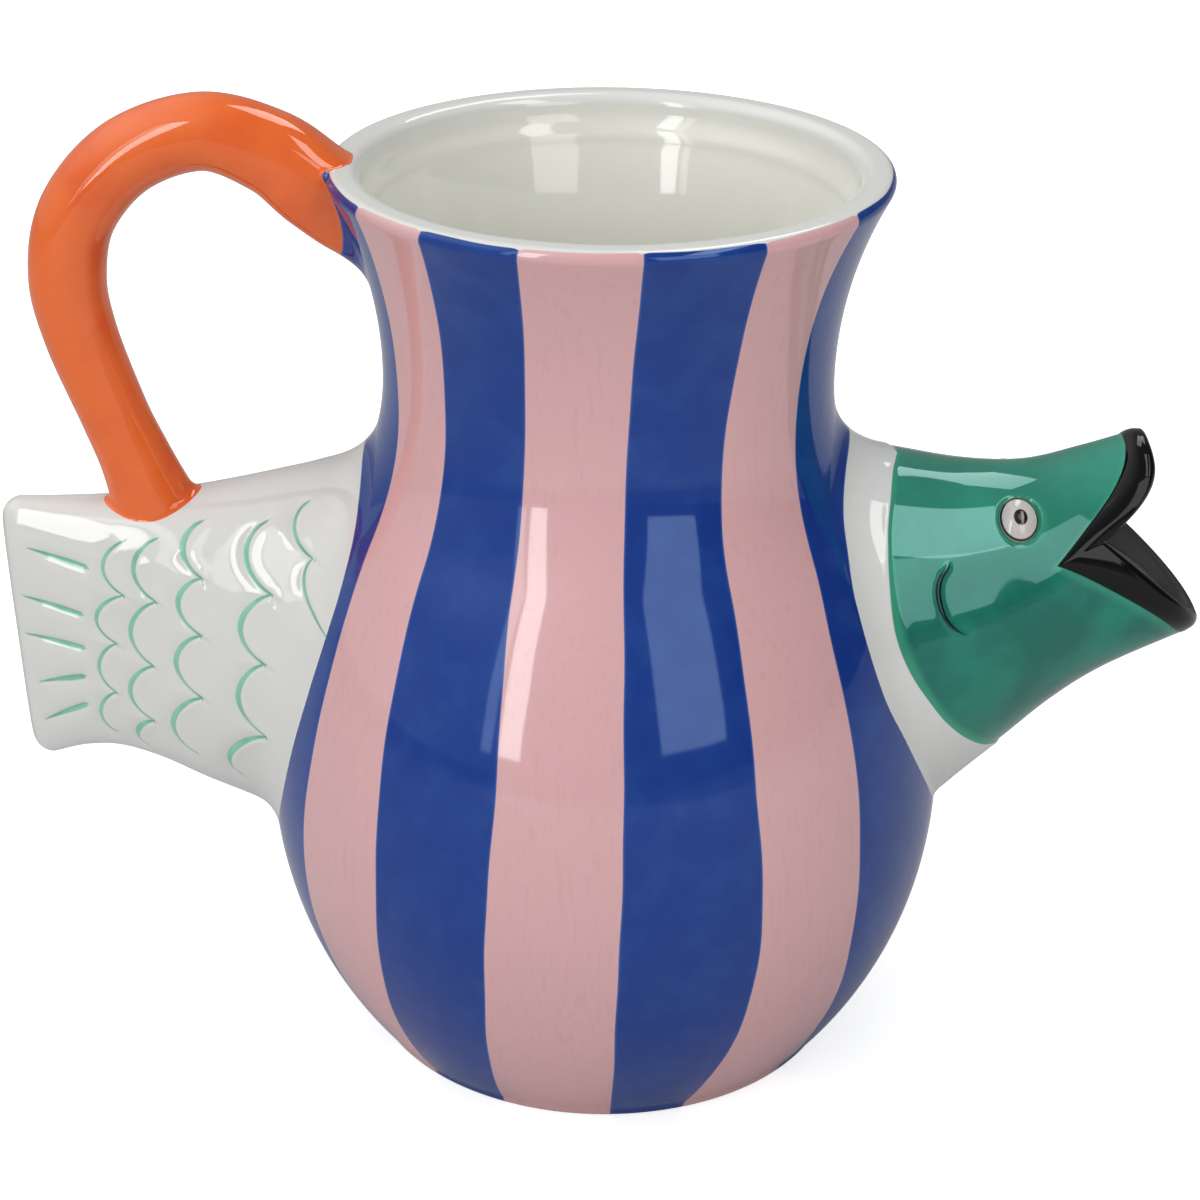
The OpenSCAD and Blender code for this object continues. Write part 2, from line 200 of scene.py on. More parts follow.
def skin(name: str, rings: Array, closing: Closing, poles: Array | None = None) -> bpy.types.Object:
    """A closed mesh through rings of points.

    Neighbouring rings are joined by quads, ring to ring and point to point. The faces are turned
    outwards by the sign of the volume, the sum of the triangles' triple products.

    Args:
        name: Name of the object and its mesh.
        rings: Array (rings, points, 3) in millimetres, each ring closed on itself.
        closing: How the ends are closed.
        poles: The two end points in millimetres for Closing.POLES, or None for the end rings' middles.

    Returns:
        The new object, smooth, at the origin.
    """
    m, n = rings.shape[:2]
    verts = rings.reshape(-1, 3)
    k = np.arange(n)
    j = (k + 1) % n
    last = m if closing is Closing.LOOP else m - 1
    i = np.arange(last)[:, None]
    nxt = (i + 1) % m
    quads = np.stack([i * n + k, i * n + j, nxt * n + j, nxt * n + k], axis=-1).reshape(-1, 4)
    tris = np.zeros((0, 3), int)
    if closing is Closing.POLES:
        ends = np.stack([rings[0].mean(axis=0), rings[-1].mean(axis=0)]) if poles is None else poles
        verts = np.vstack([verts, ends])
        first_fan = np.stack([np.full(n, m * n), j, k], axis=-1)
        last_fan = np.stack([np.full(n, m * n + 1), (m - 1) * n + k, (m - 1) * n + j], axis=-1)
        tris = np.vstack([first_fan, last_fan])
    halves = np.vstack([quads[:, [0, 1, 2]], quads[:, [0, 2, 3]], tris])
    a, b, c = (verts[halves[:, corner]] for corner in range(3))
    if np.einsum("ij,ij->", a, np.cross(b, c)) < 0:
        quads, tris = quads[:, ::-1], tris[:, ::-1]
    corners = np.concatenate([quads.ravel(), tris.ravel()])
    sizes = np.concatenate([np.full(len(quads), 4), np.full(len(tris), 3)])
    mesh = bpy.data.meshes.new(name)
    mesh.vertices.add(len(verts))
    mesh.vertices.foreach_set("co", (verts * MM).ravel())
    mesh.loops.add(len(corners))
    mesh.loops.foreach_set("vertex_index", corners)
    mesh.polygons.add(len(sizes))
    mesh.polygons.foreach_set("loop_start", np.concatenate([[0], np.cumsum(sizes)[:-1]]))
    mesh.update(calc_edges=True)
    mesh.validate()
    mesh.shade_smooth()
    return put(name, mesh)


def mesh_points(obj: bpy.types.Object) -> Array:
    """The object's vertices as an array (count, 3) in millimetres."""
    flat = np.empty(len(obj.data.vertices) * 3)
    obj.data.vertices.foreach_get("co", flat)
    return flat.reshape(-1, 3) / MM


def write_attribute(obj: bpy.types.Object, name: str, values: Array) -> None:
    """Stores one number per vertex, which the piece's glaze reads by name. Missing pole values are 0."""
    layer = obj.data.attributes.new(name, "FLOAT", "POINT")
    full = np.zeros(len(obj.data.vertices))
    full[: values.size] = values.ravel()
    layer.data.foreach_set("value", full)


def hand_in(obj: bpy.types.Object, glaze: bpy.types.Material, node: str) -> None:
    """Glazes a piece, fixes it to the jug in place of a CAD node, and logs it."""
    obj.data.materials.append(glaze)
    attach(obj, "root")
    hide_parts(node)
    LOG.info("%s: %d faces, stands for %s", obj.name, len(obj.data.polygons), node)


# Brush strokes


@dataclass(frozen=True)
class Stroke:
    """A stroke of the brush in a groove: its path on a flank as [x, z], and half-widths at even places.

    A shingled stroke is the edge of a scale, which stands up on the stroke's left.
    """

    path: Array
    half_widths: tuple[float, ...]
    shingled: bool = False

    def reach(self, points: Array) -> tuple[Array, Array]:
        """How points lie to the stroke's middle line, which is a chain of short straight steps.

        Args:
            points: Array (count, 2) of [x, z].

        Returns:
            The distance to the line, positive on its left, and the half-width at the nearest place.
        """
        steps = np.diff(self.path, axis=0)
        lengths = np.linalg.norm(steps, axis=1)
        starts = np.concatenate([[0.0], np.cumsum(lengths)])
        best = np.full(len(points), np.inf)
        share = np.zeros(len(points))
        for origin, step, length, start in zip(self.path[:-1], steps, lengths, starts[:-1]):
            off = points - origin
            along = np.clip(off @ step / length**2, 0.0, 1.0)
            gap = np.linalg.norm(off - along[:, None] * step, axis=1)
            gap = np.copysign(gap, step[0] * off[:, 1] - step[1] * off[:, 0])
            nearer = np.abs(gap) < np.abs(best)
            best = np.where(nearer, gap, best)
            share = np.where(nearer, (start + along * length) / starts[-1], share)
        return best, even(self.half_widths, share)


@dataclass
class StrokeField:
    """Where all the strokes of a flank lie, as numbers for each point of a grid."""

    side: Array
    gap: Array
    half_w: Array
    shingled: Array

    @classmethod
    def draw(cls, rings: Array, strokes: list[Stroke], far: float = 6.0) -> "StrokeField":
        """Finds the nearest stroke of every point, seen square to the flank.

        Args:
            rings: Rings of the piece's outside.
            strokes: The strokes.
            far: Distance past which a stroke doesn't matter.

        Returns:
            The field, with the shape of the rings.
        """
        flat = rings.reshape(-1, 3)[:, [0, 2]]
        side, half_w, shingled = np.full(len(flat), far), np.full(len(flat), HAIR_MM), np.zeros(len(flat))
        for stroke in strokes:
            low, high = stroke.path.min(axis=0) - far, stroke.path.max(axis=0) + far
            close = np.flatnonzero(np.all((flat > low) & (flat < high), axis=1))
            off, wide = stroke.reach(flat[close])
            nearer = np.abs(off) - wide < np.abs(side[close]) - half_w[close]
            side[close] = np.where(nearer, off, side[close])
            half_w[close] = np.where(nearer, wide, half_w[close])
            shingled[close] = np.where(nearer, float(stroke.shingled), shingled[close])
        shape = rings.shape[:2]
        fields = (side, np.abs(side), half_w, shingled)
        return cls(*(values.reshape(shape) for values in fields))

    def groove(self, depth: float, shingle: float = 0.0, dish: float = 0.0) -> Array:
        """How deep the strokes are cut.

        A stroke is a bell curve of the distance. A scale's edge adds tanh(side) under a wider bell, so
        that the scale stands up on one side and the ground dips on the other. Other strokes lie in a
        shallow dish.

        Args:
            depth: Depth of a stroke of full weight.
            shingle: How far a scale's edge stands up.
            dish: Depth of the dish.

        Returns:
            The depth at each point.
        """
        full_half_w, steep, edge_w, dish_w = 0.5, 0.4, 2.3, 2.4
        weight = np.minimum(self.half_w / full_half_w, 1.0)
        cut = bell(self.gap, 0.45 + 0.6 * self.half_w)
        edge = np.tanh(self.side / steep) * bell(self.gap, edge_w) * self.shingled
        wide = bell(self.gap, dish_w) * (1 - self.shingled)
        return weight * (depth * cut + dish * wide - shingle * edge)

    def write(self, obj: bpy.types.Object, before: int, after: int) -> None:
        """Stores the field on a piece that has more rings before and after the field's own."""
        fields = (("side", self.side, FAR_MM), ("gap", self.gap, FAR_MM), ("half_w", self.half_w, HAIR_MM))
        for name, values, rest in fields:
            full = np.pad(values, ((before, after), (0, 0)), constant_values=rest)
            write_attribute(obj, f"stroke_{name}_mm", full)


# Finishes


def srgb(code: str) -> tuple[float, float, float, float]:
    """An sRGB hex colour as linear red, green, blue and alpha."""
    channels = np.array([int(code[i : i + 2], 16) for i in (1, 3, 5)]) / 255.0
    linear = np.where(channels <= 0.04045, channels / 12.92, ((channels + 0.055) / 1.055) ** 2.4)
    return (*linear.tolist(), 1.0)


def add_node(tree: bpy.types.NodeTree, kind: str, settings: dict, **links: Socket) -> bpy.types.Node:
    """Adds a node to a tree.

    Args:
        tree: The node tree.
        kind: The node's type name.
        settings: Values by name, each for a property of the node if it has one of that name, and
            otherwise for an input socket of that name or index.
        links: Output sockets by the name of the input that each feeds, with "_" for a space and
            "in0" for an input by its index.

    Returns:
        The new node.
    """
    made = tree.nodes.new(kind)
    own = {name: value for name, value in settings.items() if isinstance(name, str) and hasattr(made, name)}
    for name, value in own.items():
        setattr(made, name, value)
    for name, value in settings.items():
        if name not in own:
            made.inputs[name].default_value = value
    for name, socket in links.items():
        key = int(name[2:]) if name[:2] == "in" and name[2:].isdigit() else name.replace("_", " ")
        tree.links.new(socket, made.inputs[key])
    return made


def map_range(
    tree: bpy.types.NodeTree,
    value: Socket,
    span: tuple[float, float],
    levels: tuple[float, float],
    kind: str = "LINEAR",
) -> Socket:
    """A value carried over from one span to another, and held at the ends.

    Args:
        tree: The node tree.
        value: The value.
        span: The ends that it comes from.
        levels: What it is at those ends.
        kind: How it runs between them.

    Returns:
        The new value.
    """
    ends = {"From Min": span[0], "From Max": span[1], "To Min": levels[0], "To Max": levels[1]}
    settings = {"interpolation_type": kind} | ends
    return add_node(tree, "ShaderNodeMapRange", settings, Value=value).outputs["Result"]


def maths(tree: bpy.types.NodeTree, operation: str, *values: Socket | float) -> Socket:
    """The result of one operation on values, each a socket or a number."""
    numbers = {i: value for i, value in enumerate(values) if isinstance(value, float)}
    links = {f"in{i}": value for i, value in enumerate(values) if i not in numbers}
    return add_node(tree, "ShaderNodeMath", {"operation": operation} | numbers, **links).outputs[0]


@dataclass
class GlazeTree:
    """A material being mixed: its node tree and the steps that the finishes share."""

    name: str
    roughness: float
    wave_mm: float = 21.0
    wave_depth_mm: float = 0.08
    ior: float = 1.62
    tree: bpy.types.NodeTree = field(init=False)
    shader: bpy.types.Node = field(init=False)
    place: Socket = field(init=False)
    material: bpy.types.Material = field(init=False)

    def __post_init__(self) -> None:
        """Starts the material: a rich clear glaze that pooled in slow, shallow waves."""
        self.material = bpy.data.materials.new(self.name)
        self.material.use_nodes = True
        self.tree = self.material.node_tree
        self.shader = self.tree.nodes["Principled BSDF"]
        self.shader.inputs["Roughness"].default_value = self.roughness
        self.shader.inputs["IOR"].default_value = self.ior
        self.place = add_node(self.tree, "ShaderNodeTexCoord", {}).outputs["Object"]
        bump = {"Strength": 1.0, "Distance": self.wave_depth_mm * MM}
        wave = add_node(self.tree, "ShaderNodeBump", bump, Height=self.noise(self.wave_mm, 1.0))
        self.tree.links.new(wave.outputs["Normal"], self.shader.inputs["Normal"])

    def noise(self, size_mm: float, detail: float, stretch: float = 1.0) -> Socket:
        """Noise with features of a real size.

        Args:
            size_mm: Width of a feature in millimetres.
            detail: Octaves of finer noise.
            stretch: How many times taller than wide a feature is.

        Returns:
            The noise's value, from 0 to 1.
        """
        scaled = {"Scale": (1.0, 1.0, 1.0 / stretch)}
        place = add_node(self.tree, "ShaderNodeMapping", scaled, Vector=self.place).outputs["Vector"]
        settings = {"Scale": 1.0 / (size_mm * MM), "Detail": detail}
        return add_node(self.tree, "ShaderNodeTexNoise", settings, Vector=place).outputs["Fac"]

    def attribute(self, name: str) -> Socket:
        """The value of one of the mesh's own attributes."""
        return add_node(self.tree, "ShaderNodeAttribute", {"attribute_name": name}).outputs["Fac"]

    def step(self, value: Socket, low: float, high: float, top: float = 1.0) -> Socket:
        """A smooth step of a value, from 0 at low to top at high. Low may be the greater one."""
        span, levels = (low, high), (0.0, top)
        if low > high:
            span, levels = span[::-1], levels[::-1]
        return map_range(self.tree, value, span, levels, "SMOOTHSTEP")

    def maths(self, operation: str, *values: Socket | float) -> Socket:
        """The result of one operation in this tree."""
        return maths(self.tree, operation, *values)

    def stroke(self, soft_mm: float) -> Socket:
        """How much paint the brush strokes leave, with an edge as soft as given."""
        gone_mm, full_mm = 0.7, 0.45
        gap, half_w = self.attribute("stroke_gap_mm"), self.attribute("stroke_half_w_mm")
        across = self.maths("ABSOLUTE", self.attribute("stroke_side_mm"))
        line = self.step(self.maths("SUBTRACT", across, half_w), soft_mm, -soft_mm)
        near = self.step(self.maths("SUBTRACT", gap, half_w), gone_mm, full_mm)
        return self.maths("MULTIPLY", line, near)

    def mix(self, share: Socket, below: Socket | str, above: Socket | str) -> Socket:
        """Mixes two colours, each a socket or a hex value.

        Args:
            share: 0 for the colour below, 1 for the colour above.
            below: The colour underneath.
            above: The colour on top.

        Returns:
            The mixed colour.
        """
        made = add_node(self.tree, "ShaderNodeMix", {"data_type": "RGBA"}, in0=share)
        for index, colour in ((6, below), (7, above)):
            if isinstance(colour, str):
                made.inputs[index].default_value = srgb(colour)
            else:
                self.tree.links.new(colour, made.inputs[index])
        return made.outputs[2]

    def tint(self, share: Socket, colour: str) -> None:
        """Tints what the glaze mirrors: a painted colour cast on its highlights and reflections."""
        self.tree.links.new(self.mix(share, "#ffffff", colour), self.shader.inputs["Specular Tint"])

    def finish(self, colour: Socket | str, roughness: Socket | None = None) -> bpy.types.Material:
        """Gives the shader its colour, and a roughness where it changes, and returns the material."""
        if isinstance(colour, str):
            self.shader.inputs["Base Color"].default_value = srgb(colour)
        else:
            self.tree.links.new(colour, self.shader.inputs["Base Color"])
        if roughness is not None:
            self.tree.links.new(roughness, self.shader.inputs["Roughness"])
        return self.material


@dataclass(frozen=True)
class Palette:
    """The colours that more than one glaze shares."""

    white: str = "#e2e3df"
    blue: str = "#14378a"
    blue_thin: str = "#4a7cc4"
    mottle_mm: float = 9.0
    edge_mm: float = 0.14
    halo_mm: float = 0.7
    halo: float = 0.35

    def cobalt(self, glaze: GlazeTree, inside_mm: Socket) -> Socket:
        """Cobalt with a faint paler edge, where the brush left it thin."""
        mottle = glaze.step(glaze.noise(self.mottle_mm, 3.0), 0.35, 0.8, 0.1)
        blue = glaze.mix(mottle, self.blue, self.blue_thin)
        return glaze.mix(glaze.step(inside_mm, self.halo_mm, 0.0, self.halo), blue, self.blue_thin)

    def over(self, glaze: GlazeTree, colour: Socket | str, past_mm: Socket) -> Socket:
        """The piece's own colour past a painted line, and the body's cobalt on the foot before it."""
        blue = self.cobalt(glaze, glaze.maths("MULTIPLY", past_mm, -1.0))
        return glaze.mix(glaze.step(past_mm, -self.edge_mm, self.edge_mm), blue, colour)


@dataclass(frozen=True)
class StripedGlaze:
    """Earthenware with hand-brushed underglaze stripes: flat cobalt beside faintly streaked rose, glossy."""

    palette: Palette = Palette()
    rose: str = "#dfafb1"
    rose_thick: str = "#d7a4a7"
    # partly painted light: a paler white for the inside, which lifts the inner wall as if more light reached
    # it; its slightly warmer tone is the bare glaze's own
    inside: str = "#ebebe2"
    highlight_tint: str = "#bfdcff"
    streak_mm: float = 1.2

    def make(self) -> bpy.types.Material:
        """The glaze, from the stripes' signed distances in millimetres."""
        glaze, edge = GlazeTree("glazed_earthenware_striped", 0.06), self.palette.edge_mm
        stripe = glaze.attribute("stripe_mm")
        streak = glaze.step(glaze.noise(self.streak_mm, 2.0, stretch=12.0), 0.5, 0.8, 0.55)
        rose = glaze.mix(streak, self.rose, self.rose_thick)
        blue = glaze.step(stripe, -edge, edge)
        painted = glaze.mix(blue, rose, self.palette.cobalt(glaze, stripe))
        cover = glaze.step(glaze.attribute("paint_mm"), -edge, edge)
        # painted highlight colour: reflections over the cobalt are tinted pale blue
        glaze.tint(glaze.maths("MULTIPLY", blue, cover), self.highlight_tint)
        # painted light: below the rim the inside turns to the paler inside white
        bare = glaze.mix(glaze.attribute("inside"), self.palette.white, self.inside)
        return glaze.finish(glaze.mix(cover, bare, painted))


@dataclass(frozen=True)
class HeadGlaze:
    """Sea-green coloured glaze next to a bare white collar: paler where it runs thin round the eyes and near
    the lip, paler towards the crest, and paler along the mask's edge, partly thin glaze and partly a painted
    highlight.
    """

    palette: Palette = Palette()
    green: str = "#14695a"
    green_wash: str = "#1e846f"
    green_thin: str = "#49a988"
    line: str = "#101816"
    highlight_tint: str = "#c8ffff"
    # painted sheen: the throat's dark grey is lighter than the black lip and stands in for the soft
    # reflection of the satin inside
    throat: str = "#343333"
    throat_roughness: float = 0.5
    thin_mm: float = 3.0
    wash_mm: float = 16.0

    def make(self) -> bpy.types.Material:
        """The glaze, from the distance past the collar, the gill line, the paler places and the throat."""
        glaze, edge = GlazeTree("glazed_earthenware_green", 0.05), self.palette.edge_mm
        past = glaze.attribute("green_mm")
        wash = glaze.step(glaze.noise(self.wash_mm, 4.0), 0.35, 0.72)
        green = glaze.mix(wash, self.green, self.green_wash)
        # the band along the mask's edge is paler, partly where glaze runs thin over the raised edge and
        # partly as a painted highlight; 'thin' adds the paler places near the eyes, the lip and the crest
        thin = glaze.maths("MAXIMUM", glaze.step(past, self.thin_mm, 0.3, 0.7), glaze.attribute("thin"))
        green = glaze.mix(thin, green, self.green_thin)
        green = glaze.mix(glaze.stroke(0.12), green, self.line)
        masked = glaze.step(past, -edge, edge)
        outside = glaze.mix(masked, self.palette.white, green)
        # painted highlight colour: reflections over the green mask are tinted pale cyan
        glaze.tint(masked, self.highlight_tint)
        outside = self.palette.over(glaze, outside, glaze.attribute("collar_mm"))
        # painted sheen: inside the head the colour turns to the throat's grey, and rougher
        throat = glaze.attribute("throat")
        roughness = map_range(glaze.tree, throat, (0.0, 1.0), (glaze.roughness, self.throat_roughness))
        return glaze.finish(glaze.mix(throat, outside, self.throat), roughness)


@dataclass(frozen=True)
class LipGlaze:
    """Black overglaze on the rolled lip: mirror-bright outside, satin where it runs into the mouth, whose
    grey there is a painted sheen.
    """

    black: str = "#060707"
    # painted sheen: the mouth's dark grey is lighter than the black and stands in for the satin's soft
    # reflection
    inside: str = "#343333"
    inside_roughness: float = 0.5
    mirror: float = 0.2

    def make(self) -> bpy.types.Material:
        """The black glaze, from how far inside the mouth it lies."""
        glaze = GlazeTree("glazed_earthenware_black", 0.07)
        glaze.shader.inputs["Specular IOR Level"].default_value = self.mirror
        mouth = glaze.attribute("mouth")
        roughness = map_range(glaze.tree, mouth, (0.0, 1.0), (glaze.roughness, self.inside_roughness))
        return glaze.finish(glaze.mix(mouth, self.black, self.inside), roughness)


@dataclass(frozen=True)
class EyeGlaze:
    """A white button with a brushed pupil and a fine black line near its edge, under the clear glaze. The
    white is greyer partly as painted shade, the pupil's grey middle is partly a painted glint, and the black
    line is partly painted socket shadow.
    """

    # partly the button's own tone, partly painted shade: greyer than the body's white
    white: str = "#cfc9c5"
    black: str = "#141317"
    # partly the pupil's lighter middle, partly a painted glint: a grey dot in the pupil's middle
    pupil_glint: str = "#5d5a60"
    core_mm: float = 0.8
    pupil_mm: float = 1.95
    # partly a painted line, partly painted shadow where the socket's wall shades the button's edge
    line_mm: float = 4.9
    line_end_mm: float = 5.45
    soft_mm: float = 0.12

    def make(self) -> bpy.types.Material:
        """The glaze, from the distance to the eye's middle."""
        glaze, soft = GlazeTree("glazed_earthenware_eye", 0.06), self.soft_mm
        out = glaze.attribute("eye_mm")
        pupil = glaze.step(out, self.pupil_mm + soft, self.pupil_mm - soft)
        # core: the grey dot of painted glint in the pupil
        core = glaze.step(out, self.core_mm + 2 * soft, self.core_mm - 2 * soft)
        # black ring near the edge: painted line and painted socket shadow
        line = glaze.step(out, self.line_mm - soft, self.line_mm + soft)
        line_end = glaze.step(out, self.line_end_mm + soft, self.line_end_mm - soft)
        black = glaze.maths("MAXIMUM", pupil, glaze.maths("MULTIPLY", line, line_end))
        colour = glaze.mix(black, self.white, self.black)
        return glaze.finish(glaze.mix(core, colour, self.pupil_glint))


@dataclass(frozen=True)
class TailGlaze:
    """White glaze over incised scales, whose grooves hold a watery green that is deepest on one side."""

    palette: Palette = Palette()
    mint: str = "#93d2b6"
    mint_deep: str = "#57ad90"
    edge: str = "#6f9f9a"
    pool_mm: float = 9.0
    side_mm: float = 0.9

    def make(self) -> bpy.types.Material:
        """The glaze, from the strokes, the painted foot and the fin's end."""
        glaze = GlazeTree("glazed_earthenware_scaled", 0.05)
        pool = glaze.step(glaze.noise(self.pool_mm, 2.0), 0.45, 0.75, 0.6)
        mint = glaze.mix(pool, self.mint, self.mint_deep)
        pooled = glaze.step(glaze.attribute("stroke_side_mm"), 0.0, self.side_mm, 0.6)
        tip = glaze.step(glaze.attribute("stroke_half_w_mm"), 0.6, 0.3, 0.8)
        mint = glaze.mix(glaze.maths("MAXIMUM", pooled, tip), mint, self.mint_deep)
        colour = glaze.mix(glaze.stroke(0.24), self.palette.white, mint)
        colour = glaze.mix(glaze.attribute("fin_edge"), colour, self.edge)
        return glaze.finish(self.palette.over(glaze, colour, glaze.attribute("collar_mm")))


@dataclass(frozen=True)
class HandleGlaze:
    """Warm orange glaze, a little deeper where it lies thick, glossy all round."""

    palette: Palette = Palette()
    orange: str = "#f4702c"
    orange_deep: str = "#ec6222"
    wash_mm: float = 14.0

    def make(self) -> bpy.types.Material:
        """The glaze, with slow changes of thickness, down to the painted line near the rim."""
        glaze = GlazeTree("glazed_earthenware_orange", 0.05)
        wash = glaze.step(glaze.noise(self.wash_mm, 3.0), 0.4, 0.75)
        orange = glaze.mix(wash, self.orange, self.orange_deep)
        return glaze.finish(self.palette.over(glaze, orange, glaze.attribute("orange_mm")))


# Walls that pieces are luted to


class Wall(ABC):
    """A surface that other pieces are luted to, known by how far points lie outside it."""

    @abstractmethod
    def gap(self, p: Array) -> Array:
        """How far points lie outside the surface, negative inside it."""

    def slope(self, p: Array) -> Array:
        """How the gap grows along X, Y and Z, from two places close to each point."""
        step = 0.05
        gaps = [self.gap(p + step * way) - self.gap(p - step * way) for way in (ALONG, ACROSS, UP)]
        return np.stack(gaps, axis=-1) / (2 * step)

    def onto(self, p: Array, lift: float = 0.0) -> Array:
        """Points moved on to the surface by four Newton steps along the slope, then lifted off it."""
        for _ in range(4):
            slope = self.slope(p)
            p = p - (self.gap(p) / np.sum(slope * slope, axis=-1))[..., None] * slope
        return p + lift * unit(self.slope(p))

    def meet(self, line: Callable[[Array], Array], inner: Array, outer: Array) -> Array:
        """Where lines cross the surface.

        Args:
            line: Gives the points at one place along each line.
            inner: Places that lie inside.
            outer: Places that lie outside.

        Returns:
            The places between them where the gap is 0, by halving the span forty times.
        """
        for _ in range(40):
            middle = (inner + outer) / 2
            inside = self.gap(line(middle)) < 0
            inner, outer = np.where(inside, middle, inner), np.where(inside, outer, middle)
        return (inner + outer) / 2

    def fillet(self, corner: Array, leave: Array, heading: Array, width: Array, steps: int) -> Array:
        """Rings of the soft fillet that joins a piece to the surface.

        Each line of it is a Bezier curve that leaves the surface along it, bends near the corner and
        ends along the piece. Its foot lies just under the surface, so that it rises out of it without
        a step, and a ring sunk deeper comes first.

        Args:
            corner: The closed ring of points where the piece meets the surface.
            leave: Where the fillet ends on the piece, for each of them.
            heading: Which way the piece runs on from there, one long.
            width: How far the fillet spreads over the surface, for each of them.
            steps: How many rings the curve has.

        Returns:
            Array (steps + 1, points, 3).
        """
        under, past, deep = 0.05, 0.5, 1.2
        run = np.roll(corner, -1, axis=0) - np.roll(corner, 1, axis=0)
        away = unit(np.cross(self.slope(corner), run))
        middle = (corner.max(axis=0) + corner.min(axis=0)) / 2
        away = away * np.sign(np.einsum("ij,ij->i", away, corner - middle))[:, None]
        foot = self.onto(corner + width[:, None] * away, -under)
        sunk = self.onto(corner + (width + past)[:, None] * away, -deep)
        up, rise = unit(self.slope(foot)), corner - foot
        first = foot + (rise - np.sum(rise * up, axis=-1, keepdims=True) * up) * 2 / 3
        second = leave - np.linalg.norm(leave - corner, axis=-1, keepdims=True) * heading * 2 / 3
        s = np.linspace(0.0, 1.0, steps, endpoint=False)[:, None, None]
        return np.concatenate([sunk[None], bezier([foot, first, second, leave], s)])


# Body


@dataclass(frozen=True)
class BodyForm(Wall):
    """The body's sizes, and its wall as four tangent arcs: belly, shoulder, waist and flare."""

    height: float = 220.0
    belly_r: float = 81.95
    belly_z: float = 67.0
    waist_r: float = 52.7
    waist_z: float = 170.0
    rim_r: float = 64.6
    foot_r: float = 57.0
    wall: float = 6.0
    rim_t: float = 8.0
    rim_edge: float = 2.2
    rim_inner_edge: float = 3.2
    shoulder_share: float = 0.7

    @cached_property
    def belly_bow(self) -> float:
        """Radius of the belly's arc, from the foot up to the widest place."""
        return bow(self.belly_r - self.foot_r, self.belly_z)

    @cached_property
    def s_bow(self) -> float:
        """Sum of the shoulder's and the waist's radii, which meet in an S."""
        return bow(self.belly_r - self.waist_r, self.waist_z - self.belly_z)

    @cached_property
    def shoulder_bow(self) -> float:
        """Radius of the shoulder's arc."""
        return self.shoulder_share * self.s_bow

    @cached_property
    def waist_bow(self) -> float:
        """Radius of the waist's arc."""
        return self.s_bow - self.shoulder_bow

    @cached_property
    def s_angle(self) -> float:
        """Angle at which shoulder and waist meet, in degrees."""
        return float(np.degrees(np.arcsin((self.waist_z - self.belly_z) / self.s_bow)))

    @cached_property
    def edge(self) -> tuple[float, float]:
        """Centre of the rounding of the rim's outer edge, as (radius, height)."""
        return self.rim_r - self.rim_edge, self.height - self.rim_edge

    @cached_property
    def flare_bow(self) -> float:
        """Radius of the flare's arc, which runs tangent into the rim's outer edge."""
        drift, rise = self.waist_r - self.edge[0], self.edge[1] - self.waist_z
        return (drift * drift + rise * rise - self.rim_edge**2) / (2 * (self.rim_edge - drift))

    @cached_property
    def flare_angle(self) -> float:
        """Angle at which the flare runs into the rim's edge, in degrees."""
        run = self.flare_bow + self.waist_r - self.edge[0]
        return float(np.degrees(np.arctan2(self.edge[1] - self.waist_z, run)))

    def radius(self, z: Array) -> Array:
        """Outer radius of the wall at heights z, arc by arc."""

        def leg(r: float, h: Array) -> Array:
            """The other leg of a right triangle with hypotenuse r."""
            return np.sqrt(np.maximum(r * r - h * h, 0.0))

        belly = self.belly_r - self.belly_bow + leg(self.belly_bow, self.belly_z - z)
        shoulder = self.belly_r - self.shoulder_bow + leg(self.shoulder_bow, z - self.belly_z)
        waist = self.waist_r + self.waist_bow - leg(self.waist_bow, self.waist_z - z)
        flare = self.waist_r + self.flare_bow - leg(self.flare_bow, z - self.waist_z)
        top = self.belly_z + self.shoulder_bow * np.sin(np.radians(self.s_angle))
        return np.select([z < self.belly_z, z < top, z < self.waist_z], [belly, shoulder, waist], flare)

    def gap(self, p: Array) -> Array:
        """How far points lie outside the wall, level, or above the rim, whose outer edge is rounded."""
        round_r = self.rim_edge
        out = np.hypot(p[..., 0], p[..., 1]) - self.radius(p[..., 2]) + round_r
        up = p[..., 2] - self.height + round_r
        return np.hypot(np.maximum(out, 0), np.maximum(up, 0)) + np.minimum(np.maximum(out, up), 0) - round_r

    def wall_arcs(self, depth: float, z0: float, flare_end: float, counts: tuple[int, ...]) -> Array:
        """The four arcs moved inwards by depth, as points (radius, height).

        Args:
            depth: Distance under the outer surface.
            z0: Height at which the belly's arc starts.
            flare_end: Angle at which the flare ends, in degrees.
            counts: Points on the belly, the shoulder, the waist and the flare.

        Returns:
            Array (points, 2), from the foot upwards.
        """
        start = np.degrees(np.arcsin((z0 - self.belly_z) / (self.belly_bow - depth)))
        belly, shoulder = self.belly_r - self.belly_bow, self.belly_r - self.shoulder_bow
        waist, flare = self.waist_r + self.waist_bow, self.waist_r + self.flare_bow
        return np.vstack([
            arc((belly, self.belly_z), self.belly_bow - depth, start, 0.0, counts[0]),
            arc((shoulder, self.belly_z), self.shoulder_bow - depth, 0.0, self.s_angle, counts[1]),
            arc((waist, self.waist_z), self.waist_bow + depth, 180.0 + self.s_angle, 180.0, counts[2]),
            arc((flare, self.waist_z), self.flare_bow + depth, 180.0, 180.0 - flare_end, counts[3]),
        ])


